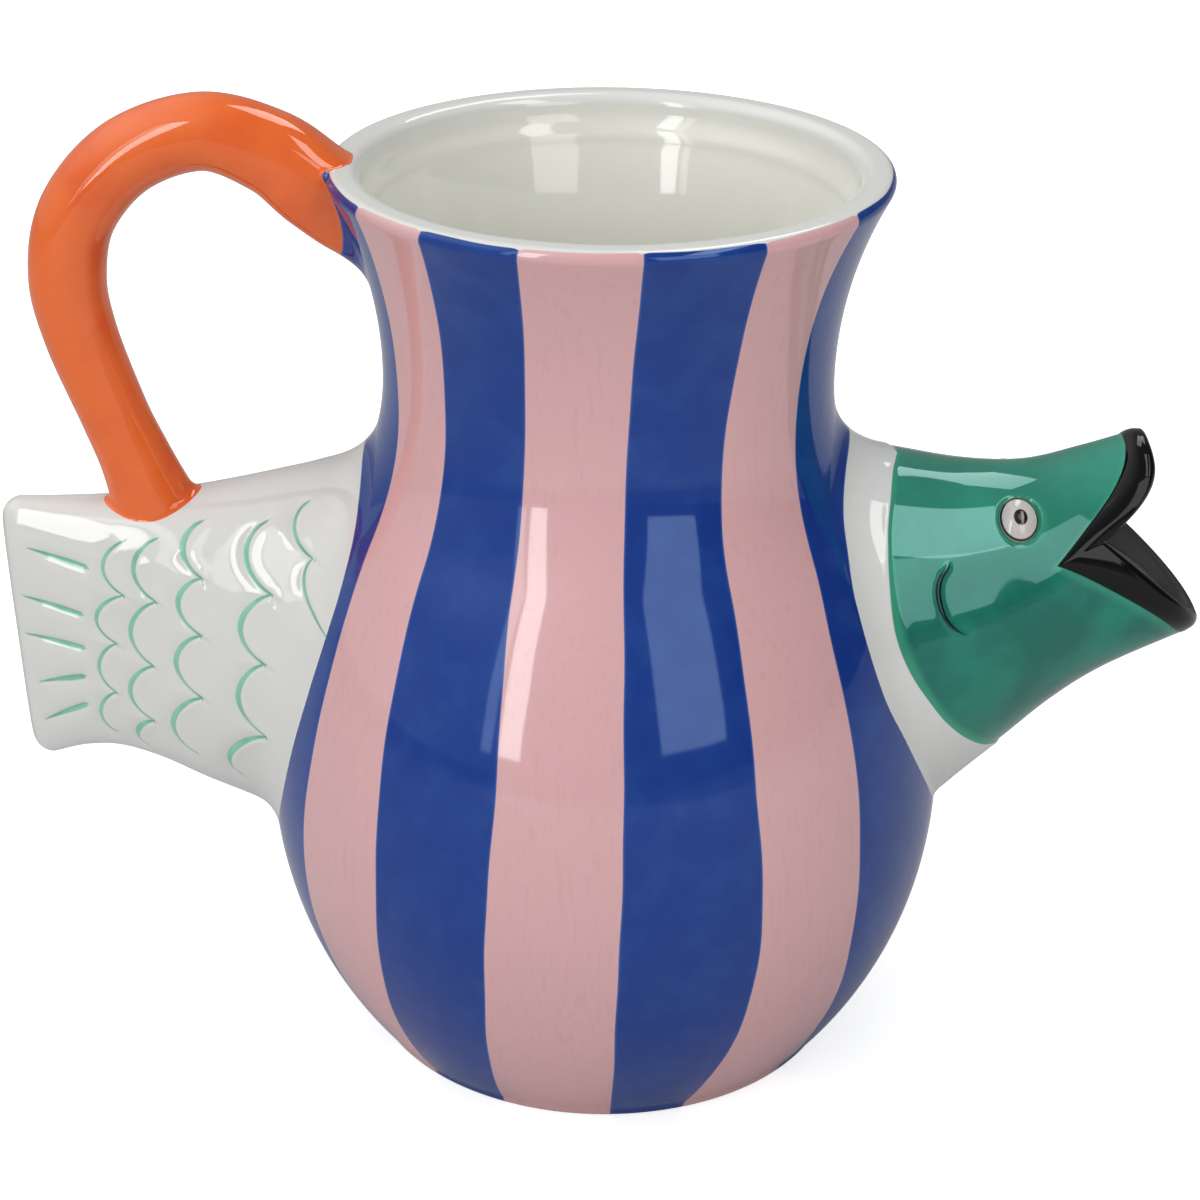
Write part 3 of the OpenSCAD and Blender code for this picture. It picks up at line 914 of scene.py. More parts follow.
@dataclass
class JugBody:
    """The revolved body with its painted stripes and the two holes into the head and the tail."""

    form: BodyForm
    around: int = 360
    foot_ring_w: float = 8.0
    foot_hollow: float = 1.5
    foot_round: float = 2.5
    foot_middle_r: float = 24.0
    floor_t: float = 6.0
    floor_round: float = 10.0
    bead_depth: float = 10.0
    bead_step: float = 0.5
    head_port_r: float = 26.0
    head_port_at: tuple[float, float] = (68.0, 103.0)
    head_port_slope: float = 17.0
    tail_port_r: float = 22.0
    tail_port_at: tuple[float, float] = (-68.0, 97.0)
    port_half: float = 30.0
    hidden_from: float = 117.0
    hidden_pitch: float = 18.0
    edges: int = 14
    paint_top: float = 54.0
    notch: float = 12.0
    notch_mm: float = 0.7

    def outline(self) -> Array:
        """Half of the upright section, from the middle of the foot, up the outside and down to the floor.

        The foot's edge is a Bezier curve, the rim is flat between two rounded edges, and the rest is arcs.
        """
        form, hollow, bulge = self.form, self.foot_hollow, 0.8
        ring_in = form.foot_r - self.foot_ring_w
        outside = form.wall_arcs(0.0, self.foot_round, form.flare_angle, (34, 42, 22, 30))
        foot_in = np.array([outside[0, 0] - self.foot_round, 0.0])
        s = np.linspace(0.0, 1.0, 6, endpoint=False)[:, None]
        foot_edge = bezier([foot_in, np.array([outside[0, 0] - bulge, 0.0]), outside[0]], s)
        foot = np.array([[self.foot_middle_r, hollow], [ring_in - hollow, hollow], [ring_in, 0.0]])
        outer_edge = arc(form.edge, form.rim_edge, -form.flare_angle, 90.0, 16)
        flat = np.array([[form.edge[0], form.height], [form.rim_r - form.rim_t / 2, form.height]])
        inner = form.rim_r - form.rim_t + form.rim_inner_edge
        inner_edge = arc((inner, form.height - form.rim_inner_edge), form.rim_inner_edge, 90.0, 176.0, 12)
        return np.vstack([foot, foot_edge, outside, outer_edge, flat, inner_edge, self.inside()])

    def inside(self) -> Array:
        """The inner wall from the rim down: the thick rim, a soft step, the wall, the rounded floor."""
        form, under_rim, draft = self.form, 3.5, 8.0
        floor_z = self.foot_hollow + self.floor_t
        reach = form.height - under_rim - form.waist_z
        wall_end = np.degrees(np.arcsin(reach / (form.flare_bow + form.wall)))
        wall = form.wall_arcs(form.wall, floor_z + self.floor_round, wall_end, (18, 22, 14, 46))[::-1]
        bead_z = form.height - self.bead_depth
        thick = ramp(wall[:, 1], bead_z - 2.0, bead_z + 0.6) * self.bead_step
        steep = ramp(wall[:, 1], bead_z, form.height - 2.0)
        inner = form.rim_r - form.rim_t
        wall[:, 0] += (inner - wall[:, 0] + thick) * steep - thick
        edge = wall[-1] - np.array([self.floor_round, 0.0])
        corner = arc((edge[0], edge[1]), self.floor_round, -draft, -90.0, 8)
        floor = np.array([[edge[0], floor_z], [28.0, floor_z], [9.0, floor_z]])
        return np.vstack([wall, corner, floor])

    def ports(self) -> list[bpy.types.Object]:
        """The two cutters: straight rods through the wall, at the head and at the tail."""
        rods = (
            ("head_port", self.head_port_at, np.radians(self.head_port_slope), self.head_port_r),
            ("tail_port", self.tail_port_at, 0.0, self.tail_port_r),
        )
        made = []
        a = turns(96)[:, None]
        for name, (x, z), tilt, radius in rods:
            axis, up = upright(np.cos(tilt), np.sin(tilt)), upright(-np.sin(tilt), np.cos(tilt))
            ring = upright(x, z) + radius * (np.cos(a) * ACROSS + np.sin(a) * up)
            ends = [ring + reach * axis for reach in (-self.port_half, self.port_half)]
            made.append(skin(name, np.stack(ends), Closing.POLES))
        return made

    def stripe_edges(self, z: Array) -> Array:
        """Angles of the hand-painted stripe edges at heights z.

        Each seen edge wanders through ten heights on a spline. The others stand at an even pitch
        and borrow the wander of a seen one.

        Args:
            z: Heights.

        Returns:
            Array (edges, heights) of degrees from the near side, positive towards the head.
        """
        seen = np.array([
            [-60.5, -60.5, -60.6, -59.4, -57.6, -58.0, -62.1, -64.5, -63.0, -58.2],
            [-43.5, -42.2, -40.5, -39.5, -39.6, -40.6, -42.5, -43.1, -41.6, -38.6],
            [-23.5, -21.4, -19.5, -18.4, -17.9, -18.6, -19.9, -20.2, -18.8, -17.1],
            [2.0, 2.3, 2.5, 2.8, 3.2, 3.4, 3.6, 4.7, 5.7, 6.2],
            [19.5, 24.2, 25.8, 26.2, 25.6, 25.7, 27.0, 29.1, 30.9, 30.8],
            [47.5, 48.2, 46.7, 46.3, 46.3, 46.7, 50.6, 52.9, 54.2, 56.0],
        ])
        k = np.arange(len(seen), self.edges)
        wander = 0.8 * (seen - seen.mean(axis=1, keepdims=True))
        hidden = self.hidden_from + self.hidden_pitch * (k - len(seen))[:, None] + wander[k % len(seen)]
        knots = np.vstack([seen, hidden])
        angles = spline(knots.T, np.clip(z / self.form.height, 0.0, 1.0) * (knots.shape[1] - 1)).T
        phase = np.arange(self.edges)[:, None] * 2.4
        for swing, pitch_mm, order in ((0.12, 11.0, 1), (0.06, 4.1, 2)):
            angles = angles + swing * np.sin(z / pitch_mm + order * phase)
        return angles

    def paint(self, obj: bpy.types.Object) -> None:
        """Writes the stripes' signed distances in millimetres, worked out from each vertex's place.

        stripe_mm is the arc to the nearest edge, positive in blue. paint_mm is the arc left up to the
        paint's top on the rim's outer edge, and is negative on the bare rim and inside.
        """
        p = mesh_points(obj)
        r, z = np.hypot(p[:, 0], p[:, 1]), p[:, 2]
        turn = np.degrees(np.arctan2(p[:, 0], -p[:, 1]))
        away = (turn - self.stripe_edges(z) + 180.0) % 360.0 - 180.0
        nearest = np.abs(away).argmin(axis=0)
        sign = np.where(nearest % 2 == 1, 1.0, -1.0)
        stripe = np.take_along_axis(away, nearest[None], axis=0)[0] * sign * np.radians(1.0) * r
        write_attribute(obj, "stripe_mm", stripe)
        (edge_r, edge_z), round_r = self.form.edge, self.form.rim_edge
        up_edge = np.degrees(np.arctan2(z - edge_z, r - edge_r))
        uneven = 3.0 * np.sin(np.radians(turn) * 8 + 0.9) + 1.5 * np.sin(np.radians(turn) * 19)
        notch = self.notch * bell(stripe, self.notch_mm)
        left = np.radians(self.paint_top + uneven - notch - up_edge) * round_r
        outside = (self.form.gap(p) > -1.0) | (z < self.foot_round)
        painted, bare = 5.0, -5.0
        paint = np.where(z > edge_z - round_r, left, painted)
        write_attribute(obj, "paint_mm", np.where(outside, paint, bare))
        # painted light: 'inside' rises from 0 at the rim's top to 1 six millimetres below it, where the glaze
        # turns to its paler inside white
        deep = 1.0 - ramp(z, self.form.height - 6.0, self.form.height - 0.5)
        write_attribute(obj, "inside", np.where(outside, 0.0, deep))

    def build(self) -> None:
        """Revolves the outline, cuts the two holes and paints the stripes."""
        profile = self.outline()
        a = turns(self.around)[:, None]
        rings = profile[:, None, :1] * (np.cos(a) * ALONG + np.sin(a) * ACROSS) + profile[:, None, 1:] * UP
        poles = np.stack([self.foot_hollow * UP, (self.foot_hollow + self.floor_t) * UP])
        obj = skin("jug_body", rings, Closing.POLES, poles)
        cutters = self.ports()
        for cutter in cutters:
            cut = obj.modifiers.new(cutter.name, "BOOLEAN")
            cut.object = cutter
            cut.operation = "DIFFERENCE"
            cut.solver = "EXACT"
        baked = bpy.data.meshes.new_from_object(obj.evaluated_get(bpy.context.evaluated_depsgraph_get()))
        obj.modifiers.clear()
        obj.data = baked
        for cutter in cutters:
            bpy.data.objects.remove(cutter)
        self.paint(obj)
        obj.data.materials.clear()
        hand_in(obj, StripedGlaze().make(), "body_shell")


# Luted pieces: the head, its lip and eyes, and the tail


@dataclass
class Root:
    """The start of a luted piece: its fillet's rings, their places along the loft, where the fillet ends
    and how far each point lies past the body's paint."""

    rings: Array
    along: Array
    leave: Array
    past_paint: Array


@dataclass
class Branch(Wall):
    """A lofted form that stands out of the body, with a soft fillet where it was luted on.

    A row gives one ring: [top x, top z, bottom x, bottom z, half-width, squareness]. A ring is a
    superellipse between its top and its bottom, and the rows are joined by a spline. The fillet's width
    and how much of it stays clear of the body's paint are set at even lifts from keel to crest.
    """

    body: BodyForm
    side: Side
    rows: Array
    fillet_w: tuple[float, ...]
    clear_w: tuple[float, ...]

    def ring(self, t: Array) -> tuple[Array, Array, Array, Array]:
        """The top, the bottom, the half-width and the squareness of the rings at shares t along the loft."""
        s = spline(self.rows, t * (len(self.rows) - 1))
        top = upright(self.side.value * s[..., 0], s[..., 1])
        bottom = upright(self.side.value * s[..., 2], s[..., 3])
        return top, bottom, s[..., 4], s[..., 5]

    def point(self, t: Array, a: Array, depth: float | Array = 0.0) -> Array:
        """Points of the loft.

        Args:
            t: Share along the loft, from 0 inside the body to 1 at its end.
            a: Angle round the ring in radians: 0 on the near flank, a quarter turn on top.
            depth: Distance under the surface.

        Returns:
            middle + rise * (half-height - depth) - flank * (half-width - depth), where rise and flank
            are sin and cos over the superellipse's norm.
        """
        t, a = np.broadcast_arrays(np.asarray(t, float), np.asarray(a, float))
        top, bottom, half_w, n = self.ring(t)
        flank, rise = superellipse(a, n)
        half = (top - bottom) / 2
        depth = np.broadcast_to(np.asarray(depth, float), t.shape)
        across = (flank * (half_w - depth))[..., None] * ACROSS
        return (top + bottom) / 2 + rise[..., None] * (half - depth[..., None] * unit(half)) - across

    def gap(self, p: Array) -> Array:
        """How far points lie outside the loft: their norm in the ring that holds them, less 1, in its size.

        The ring is found by halving the span of t until its plane holds the point.
        """
        low, high = np.zeros(p.shape[:-1]), np.ones(p.shape[:-1])
        for _ in range(36):
            top, bottom, half_w, n = self.ring((low + high) / 2)
            rise, off = top - bottom, p - bottom
            ahead = self.side.value * (off[..., 0] * rise[..., 2] - off[..., 2] * rise[..., 0]) > 0
            low, high = np.where(ahead, (low + high) / 2, low), np.where(ahead, high, (low + high) / 2)
        size = np.sum(rise * rise, axis=-1)
        h, w = 2 * np.sum(off * rise, axis=-1) / size - 1, p[..., 1] / half_w
        return ((np.abs(h) ** n + np.abs(w) ** n) ** (1.0 / n) - 1) * np.sqrt(size) / 2

    def heading(self, t: Array, a: Array) -> Array:
        """Which way the surface runs along the loft, in millimetres for a unit of t."""
        return rate(lambda at: self.point(at, a), t, 0.004)

    def speed(self, t: Array, a: Array) -> Array:
        """Millimetres along the surface for a unit of t."""
        return np.linalg.norm(self.heading(t, a), axis=-1)

    def leaves_body(self, a: Array, depth: float = 0.0) -> Array:
        """Where the loft, or its inside at a depth, comes out of the body, as t for each angle."""
        return self.body.meet(lambda t: self.point(t, a, depth), np.zeros_like(a), np.full_like(a, 0.6))

    def root(self, a: Array, steps: int) -> Root:
        """The fillet from the body on to the loft, for angles round the ring and a number of rings."""
        reach, spread, margin = 1.15, 1.15, 0.25
        meet = self.leaves_body(a)
        width = by_lift(self.fillet_w, a)
        leave = meet + reach * width / self.speed(meet, a)
        ahead = unit(self.heading(leave, a))
        rings = self.body.fillet(self.point(meet, a), self.point(leave, a), ahead, spread * width, steps)
        past = run_along(rings[1:]) - spread * width + by_lift(self.clear_w, a) + margin
        s = np.append(0.0, np.linspace(0.0, 1.0, steps, endpoint=False))[:, None]
        return Root(rings, meet + s * s * (leave - meet), leave, np.concatenate([past[:1], past]))


@dataclass
class FishHead:
    """The hollow head: white collar, raised green mask, gill line, eye sockets and a gaping mouth."""

    body: BodyForm
    around: int = 400
    wall: float = 5.0
    gape_angle: float = 22.0
    gape_corner: float = 0.837
    crest_band: float = 0.05
    keel_band: float = 0.018
    lip_corner: float = 0.13
    edge_eases: tuple[float, float] = (5.0, 2.6)
    seat_eases: tuple[float, float] = (2.9, 2.9)
    fillet_rings: int = 28
    outside_rings: int = 150
    inside_rings: int = 40
    eye_along: float = 0.62
    eye_angle: float = 50.0
    eye_r: float = 5.5
    eye_narrow: float = 0.84
    eye_h: float = 3.0
    eye_rim: float = 0.8
    eye_seat: float = 1.2
    socket_depth: float = 0.95
    mask_step: float = 0.45
    gill_depth: float = 0.5
    gill_clear: float = 2.0
    branch: Branch = field(init=False)

    def __post_init__(self) -> None:
        """Sets up the loft from the head's rings, root to mouth."""
        rows = np.array([
            [37.0, 153.4, 62.0, 42.0, 37.0, 2.0],
            [54.0, 151.2, 78.0, 58.5, 35.0, 2.0],
            [66.0, 149.7, 87.5, 68.0, 32.5, 2.0],
            [84.0, 147.0, 97.0, 76.6, 28.0, 2.0],
            [99.0, 147.2, 109.0, 87.2, 22.5, 2.0],
            [112.5, 151.2, 121.5, 95.5, 18.2, 2.0],
            [125.4, 155.6, 141.3, 105.5, 16.8, 2.0],
        ])
        fillet_w = (3.0, 2.6, 2.3, 2.3, 3.4, 5.2, 7.6, 7.9, 7.4, 7.8, 9.2, 10.8, 12.0)
        clear_w = (3.0, 2.6, 2.3, 2.3, 3.4, 5.2, 7.6, 7.9, 6.6, 4.2, 3.2, 3.2, 3.4)
        self.branch = Branch(self.body, Side.HEAD, rows, fillet_w, clear_w)

    def angles(self) -> Array:
        """Even angles round the head, with a point on each corner of the mouth."""
        corner = np.radians(self.gape_angle)
        upper = round(self.around * (np.pi - 2 * corner) / (2 * np.pi))
        top = np.linspace(corner, np.pi - corner, upper, endpoint=False)
        low = np.linspace(np.pi - corner, 2 * np.pi + corner, self.around - upper, endpoint=False)
        return np.concatenate([top, low])

    def gape(self, a: Array, corner: float, ends: tuple[float, float], eases: tuple[float, float]) -> Array:
        """How far along the head the mouth's edge lies, for angles a.

        From each corner it eases to its end at the crest or at the keel: corner + (end - corner) *
        (1 - (1 - share)^ease), where share is the part of the angle covered.

        Args:
            a: Angles round the head.
            corner: Place of the mouth's corner, as t.
            ends: Places at the crest and at the keel, as t.
            eases: Powers above and below the corner.

        Returns:
            The places, as t.
        """
        lift, corner_lift = np.arcsin(np.sin(a)), np.radians(self.gape_angle)
        upper = lift > corner_lift
        up_share = (lift - corner_lift) / (np.pi / 2 - corner_lift)
        share = np.where(upper, up_share, (corner_lift - lift) / (np.pi / 2 + corner_lift))
        power, end = np.where(upper, *eases), np.where(upper, *ends)
        return corner + (end - corner) * (1 - np.clip(1 - share, 0.0, 1.0) ** power)

    def lip_edge(self, a: Array) -> Array:
        """Where the lip is rolled over, as t."""
        return self.gape(a, self.gape_corner, (1.0, 1.0), self.edge_eases)

    def lip_seat(self, a: Array) -> Array:
        """Where the lip's band begins, as t."""
        corner = self.gape_corner - self.lip_corner
        return self.gape(a, corner, (1.0 - self.crest_band, 1.0 - self.keel_band), self.seat_eases)

    def eye_place(self, flank: Flank) -> tuple[Array, Array, Array]:
        """Middle of an eye on the head's surface, the outward normal there, and the way across the eye."""
        t, a = self.eye_along, np.radians(self.eye_angle)
        about = rate(lambda at: self.branch.point(t, at), a, 0.004)
        mirror = np.array([1.0, -flank.value, 1.0])
        out = unit(np.cross(self.branch.heading(t, a), about)) * mirror
        return self.branch.point(t, a) * mirror, out, unit(np.cross(out, UP))

    def mask_edge(self, a: Array) -> Array:
        """Where the white collar gives way to green, as t, set at lifts 15 degrees apart."""
        places = (0.5, 0.493, 0.474, 0.42, 0.36, 0.304, 0.2545, 0.2325, 0.245, 0.2745, 0.313, 0.338, 0.355)
        return by_lift(places, a)

    def gill(self) -> Stroke:
        """The curved gill line, which is thickest near its upper end and runs out to a hair."""
        knots = np.array([
            [0.42, 33.5],
            [0.399, 30.2],
            [0.386, 26.0],
            [0.383, 20.8],
            [0.389, 16.2],
            [0.405, 12.2],
            [0.436, 8.2],
        ])
        on = spline(knots, np.linspace(0.0, len(knots) - 1, 30))
        path = self.branch.point(on[:, 0], np.radians(on[:, 1]))
        return Stroke(path[:, [0, 2]], (0.3, 0.62, 0.66, 0.58, 0.46, 0.3, 0.08))

    def sink_eyes(self, rings: Array) -> tuple[Array, Array]:
        """Presses a flat-floored socket for each eye.

        Inside the eye's ellipse a point goes down to the floor's plane, and a soft wall leads back up.

        Args:
            rings: Rings of the outside.

        Returns:
            The pressed rings, and how near each point lies to an eye, from 0 to 1.
        """
        near = np.zeros(rings.shape[:2])
        for flank in Flank:
            middle, out, across = self.eye_place(flank)
            off = rings - middle
            height, wide = off @ out, off @ across
            tall = off @ np.cross(across, out)
            reach = np.hypot(wide / self.eye_narrow, tall)
            inside = (1 - ramp(reach, self.eye_r + 0.1, self.eye_r + 1.0)) * (np.abs(height) < self.eye_r)
            rings = rings - ((height + self.socket_depth) * inside)[..., None] * out
            past_eye = np.linalg.norm(off, axis=-1) - self.eye_r
            near = np.maximum(near, 1 - ramp(past_eye, 0.3, 3.2))
        return rings, near

    def build(self) -> None:
        """Lofts the outside from the fillet to the lip and the inside back to the hole in the body."""
        a = self.angles()
        root = self.branch.root(a, self.fillet_rings)
        s = np.linspace(0.0, 1.0, self.outside_rings)[:, None]
        t = root.leave + s * (self.lip_seat(a) - root.leave)
        outside = np.concatenate([root.rings, self.branch.point(t, a[None])])
        along = np.concatenate([root.along, t])
        pace = self.branch.speed(along, np.broadcast_to(a, along.shape))
        past = (along - self.mask_edge(a)) * pace
        rising = np.concatenate([[0.0], np.linspace(0.0, 1.0, len(root.rings) - 1), np.ones(len(s))])[:, None]
        strokes = StrokeField.draw(outside, [self.gill()])
        sink = self.mask_step * (1 - ramp(past, -0.5, 1.1)) * ramp(rising, 0.3, 1.0)
        sink = sink + strokes.groove(self.gill_depth) * (past > self.gill_clear)
        outside = outside - sink[..., None] * grid_normals(outside)
        outside, by_eye = self.sink_eyes(outside)
        # paler green: thin glaze round the eye sockets and near the lip, and a paler green towards the crest
        by_lip, by_crest = ramp((along - self.lip_seat(a)) * pace, -3.5, -0.3), ramp(np.sin(a), 0.1, 0.95)
        thin = np.maximum(np.maximum(0.5 * by_eye, 0.45 * by_lip), 0.35 * by_crest)
        back = np.linspace(1.0, 0.0, self.inside_rings)[:, None]
        root_in = self.branch.leaves_body(a, self.wall)
        inside = self.branch.point(root_in + back * (self.lip_seat(a) - root_in), a[None], self.wall)
        inside = np.concatenate([inside, self.body.onto(inside[-1], -1.0)[None]])
        obj = skin("fish_head", np.concatenate([outside, inside]), Closing.LOOP)
        blank = np.zeros(inside.shape[:2])
        # throat: where the inside of the head takes the grey of painted sheen
        throat = blank + ramp(np.append(back[:, 0], 0.0), 0.2, 0.4)[:, None]
        rest = ((0, len(s) + len(inside)), (0, 0))
        write_attribute(obj, "collar_mm", np.pad(root.past_paint, rest, constant_values=FAR_MM))
        write_attribute(obj, "green_mm", np.concatenate([past, blank - FAR_MM]))
        write_attribute(obj, "thin", np.concatenate([thin, blank]))
        write_attribute(obj, "throat", np.concatenate([np.zeros(outside.shape[:2]), throat]))
        strokes.write(obj, 0, len(inside))
        hand_in(obj, HeadGlaze().make(), "head_spout")


@dataclass
class MouthLip:
    """The rolled black lip that closes the end of the head's wall."""

    head: FishHead
    swell: float = 0.55
    thin: float = 3.0
    thick: float = 4.8

    def build(self) -> None:
        """Carries the lip's section round the mouth.

        The section runs along a slightly swollen band on the outside, half round the wall's end, and
        back along the inside.
        """
        head = self.head
        a = head.angles()
        seat, edge = head.lip_seat(a), head.lip_edge(a)
        from_corner = (edge - head.gape_corner) / (1 - head.gape_corner)
        w = self.thin + (self.thick - self.thin) * from_corner**6
        f = np.linspace(0.0, 1.0, 16, endpoint=False)[:, None]
        full_band, least, bluff, lean = 0.06, 0.2, 0.88, 0.28
        swell = self.swell * np.clip((edge - seat) / full_band, least, 1.0)
        band = head.branch.point(seat + f * (edge - seat), a[None], -swell * np.sin(np.pi * f) ** 0.8)
        outer, inner = head.branch.point(edge, a), head.branch.point(edge, a, w)
        ahead = unit(head.branch.point(edge, a, w / 2) - head.branch.point(edge - 0.02, a, w / 2))
        half = (outer - inner) / 2
        b = np.linspace(0.0, np.pi, 18)
        turn = b[:, None, None]
        reach = np.linalg.norm(half, axis=-1, keepdims=True) * (bluff - lean * np.sin(a))[:, None]
        roll = (outer + inner) / 2 + np.cos(turn) * half + np.sin(turn) * reach * ahead
        g = np.append(f[1:], [[1.0]], axis=0)
        back = head.branch.point(edge + g * (seat - edge), a[None], w + g * (head.wall - w))
        obj = skin("mouth_lip", np.concatenate([band, roll, back]), Closing.LOOP)
        # mouth: where the black turns to the grey of painted sheen inside
        mouth = np.concatenate([np.zeros(len(f)), ramp(b, 1.25, 1.85), np.ones(len(f))])
        write_attribute(obj, "mouth", np.repeat(mouth, len(a)))
        hand_in(obj, LipGlaze().make(), "gape_lip")


@dataclass
class FishEye:
    """One domed eye button, set in its socket."""

    head: FishHead
    flank: Flank
    node: str
    around: int = 72

    def build(self, glaze: bpy.types.Material) -> None:
        """Carries the button's outline, a short upright edge under a shallow dome, round an ellipse."""
        head = self.head
        middle, out, across = head.eye_place(self.flank)
        dome = bow(head.eye_h - head.eye_rim, head.eye_r)
        reach = np.degrees(np.arcsin(head.eye_r / dome))
        top = arc((0.0, head.eye_h - dome), dome, 90.0 - reach, 89.0, 30)
        outline = np.vstack([[[0.5, 0.0], [head.eye_r - 0.2, 0.0], [head.eye_r, 0.2]], top])
        turn = turns(self.around)[:, None]
        ring = head.eye_narrow * np.cos(turn) * across + np.sin(turn) * np.cross(across, out)
        seat = middle - head.eye_seat * out
        rings = seat + outline[:, None, :1] * ring + outline[:, None, 1:] * out
        poles = np.stack([seat, seat + head.eye_h * out])
        obj = skin(f"fish_{self.node}", rings, Closing.POLES, poles)
        write_attribute(obj, "eye_mm", np.repeat(outline[:, 0], self.around))
        hand_in(obj, glaze, self.node)


@dataclass
class FishTail:
    """The hollow tail with incised, green-washed scales on both flanks and rays on the fin."""

    body: BodyForm
    around: int = 480
    wall: float = 5.0
    fin_round: float = 4.98
    hollow_end: float = 0.68
    groove_depth: float = 0.36
    scale_edge: float = 0.4
    ray_dish: float = 0.3
    handle_at: tuple[float, float] = (-108.0, 137.0)
    handle_clear: float = 11.0
    fillet_rings: int = 24
    outside_rings: int = 150
    hollow_rings: int = 10
    branch: Branch = field(init=False)

    def __post_init__(self) -> None:
        """Sets up the loft from the tail's rings, root to fin."""
        rows = np.array([
            [40.0, 148.5, 64.0, 42.0, 32.0, 2.0],
            [60.0, 147.0, 78.0, 52.0, 29.0, 2.0],
            [74.0, 143.6, 86.0, 57.0, 25.0, 2.1],
            [90.0, 139.9, 98.0, 62.3, 20.0, 2.3],
            [104.0, 137.4, 109.0, 67.5, 15.0, 2.6],
            [119.0, 135.9, 119.0, 70.5, 11.0, 3.0],
            [131.0, 135.5, 128.0, 70.2, 8.5, 3.2],
            [140.0, 135.6, 136.5, 67.8, 6.5, 3.4],
        ])
        fillet_w = (4.0, 4.4, 5.0, 5.8, 6.6, 7.2, 7.9, 8.0, 7.7, 7.6, 8.2, 8.8, 9.0)
        clear_w = (4.0, 4.4, 5.0, 5.8, 6.6, 7.2, 7.9, 8.0, 7.0, 5.3, 2.8, 2.2, 2.4)
        self.branch = Branch(self.body, Side.TAIL, rows, fillet_w, clear_w)

    @staticmethod
    def strokes() -> list[Stroke]:
        """The incised strokes: columns of scallops, and rays on the fin.

        A scallop bows out between two cusps: chord(s) - bulge * (4 s (1 - s))^0.8 along X. Each column
        gives its cusps from the top down, the bulge of each scallop and the stroke's weight.
        """
        columns = (
            (((-114.0, 129.0), (-115.0, 115.5), (-117.5, 102.5), (-118.5, 89.0), (-119.5, 77.0)),
             (5.4, 6.0, 4.5, 4.0), 0.75),
            (((-106.5, 130.0), (-107.0, 115.0), (-108.5, 98.0), (-109.5, 82.5), (-112.0, 74.0)),
             (5.6, 6.1, 6.0, 3.3), 0.9),
            (((-95.5, 134.5), (-95.5, 122.5), (-96.0, 108.5), (-96.5, 92.0), (-99.0, 74.5)),
             (4.6, 5.8, 6.5, 6.8), 1.0),
            (((-80.0, 136.0), (-78.5, 121.0), (-80.5, 104.0), (-81.0, 84.5), (-88.0, 70.0)),
             (5.5, 6.7, 6.7, 5.8), 1.0),
            (((-70.0, 140.5), (-68.5, 130.0), (-65.0, 116.0)), (4.0, 3.7), 0.7),
        )
        rays = (
            ((-138.0, 125.0), (-124.5, 121.5)),
            ((-140.2, 112.4), (-126.5, 109.0)),
            ((-140.2, 102.3), (-126.5, 100.0)),
            ((-137.5, 89.5), (-127.0, 92.0)),
            ((-137.0, 79.0), (-127.0, 84.0)),
        )
        ray_half_widths = (0.15, 0.4, 0.62, 0.78, 0.7)
        s = np.linspace(0.0, 1.0, 17)[:, None]
        made = [Stroke(p + s * (q - p), ray_half_widths) for p, q in np.array(rays)]
        for cusps, bulges, weight in columns:
            half_widths = tuple(weight * w for w in (0.24, 0.58, 0.8, 0.62, 0.28))
            for p, q, bulge in zip(np.array(cusps[:-1]), np.array(cusps[1:]), bulges):
                bend = (4 * s * (1 - s)) ** 0.8 * np.array([bulge, 0.0])
                made.append(Stroke(p + s * (q - p) - bend, half_widths, shingled=True))
        return made

    def build(self) -> None:
        """Lofts the hollow from its blind end out to the body, and the outside from there to the fin."""
        a = turns(self.around)
        root = self.branch.root(a, self.fillet_rings)
        t = root.leave + np.linspace(0.0, 1.0, self.outside_rings)[:, None] * (1.0 - root.leave)
        outside = np.concatenate([root.rings, self.branch.point(t, a[None])])
        turn = np.linspace(0.0, np.pi / 2, 9)[1:]
        inset = np.append(self.fin_round * (1 - np.cos(turn)), [self.fin_round + 0.7, self.fin_round + 1.3])
        out = np.append(self.fin_round * np.sin(turn), [self.fin_round, self.fin_round])
        end_t = np.ones((len(inset), self.around))
        fin = self.branch.point(end_t, a[None], inset[:, None] + np.zeros_like(end_t))
        outside = np.concatenate([outside, fin - out[:, None, None] * ALONG])
        strokes = StrokeField.draw(outside, self.strokes())
        sink = strokes.groove(self.groove_depth, self.scale_edge, self.ray_dish)
        sink[: len(root.rings)] *= ramp(np.linspace(0.0, 1.0, len(root.rings)), 0.1, 0.9)[:, None]
        sink[-len(fin) :] *= ramp(inset, self.fin_round, 0.5 * self.fin_round)[:, None]
        off_handle = np.hypot(outside[..., 0] - self.handle_at[0], outside[..., 2] - self.handle_at[1])
        sink *= ramp(off_handle, self.handle_clear, self.handle_clear + 3.0)
        outside = outside - sink[..., None] * grid_normals(outside)
        root_in = self.branch.leaves_body(a, self.wall)
        share = np.linspace(1.0, 0.0, self.hollow_rings)[:, None]
        hollow = self.branch.point(root_in + share * (self.hollow_end - root_in), a[None], self.wall)
        hollow = np.concatenate([hollow, self.body.onto(hollow[-1], -1.0)[None]])
        obj = skin("fish_tail", np.concatenate([hollow, outside]), Closing.POLES)
        strokes.write(obj, len(hollow), 0)
        rest = ((len(hollow), len(t) + len(fin)), (0, 0))
        write_attribute(obj, "collar_mm", np.pad(root.past_paint, rest, constant_values=FAR_MM))
        line = 0.4 * bell(turn - 1.1, 0.16)
        edge = np.concatenate([np.zeros(len(hollow) + len(outside) - len(fin)), line, [0.0, 0.0]])
        write_attribute(obj, "fin_edge", np.repeat(edge, self.around))
        hand_in(obj, TailGlaze().make(), "tail_chamber")


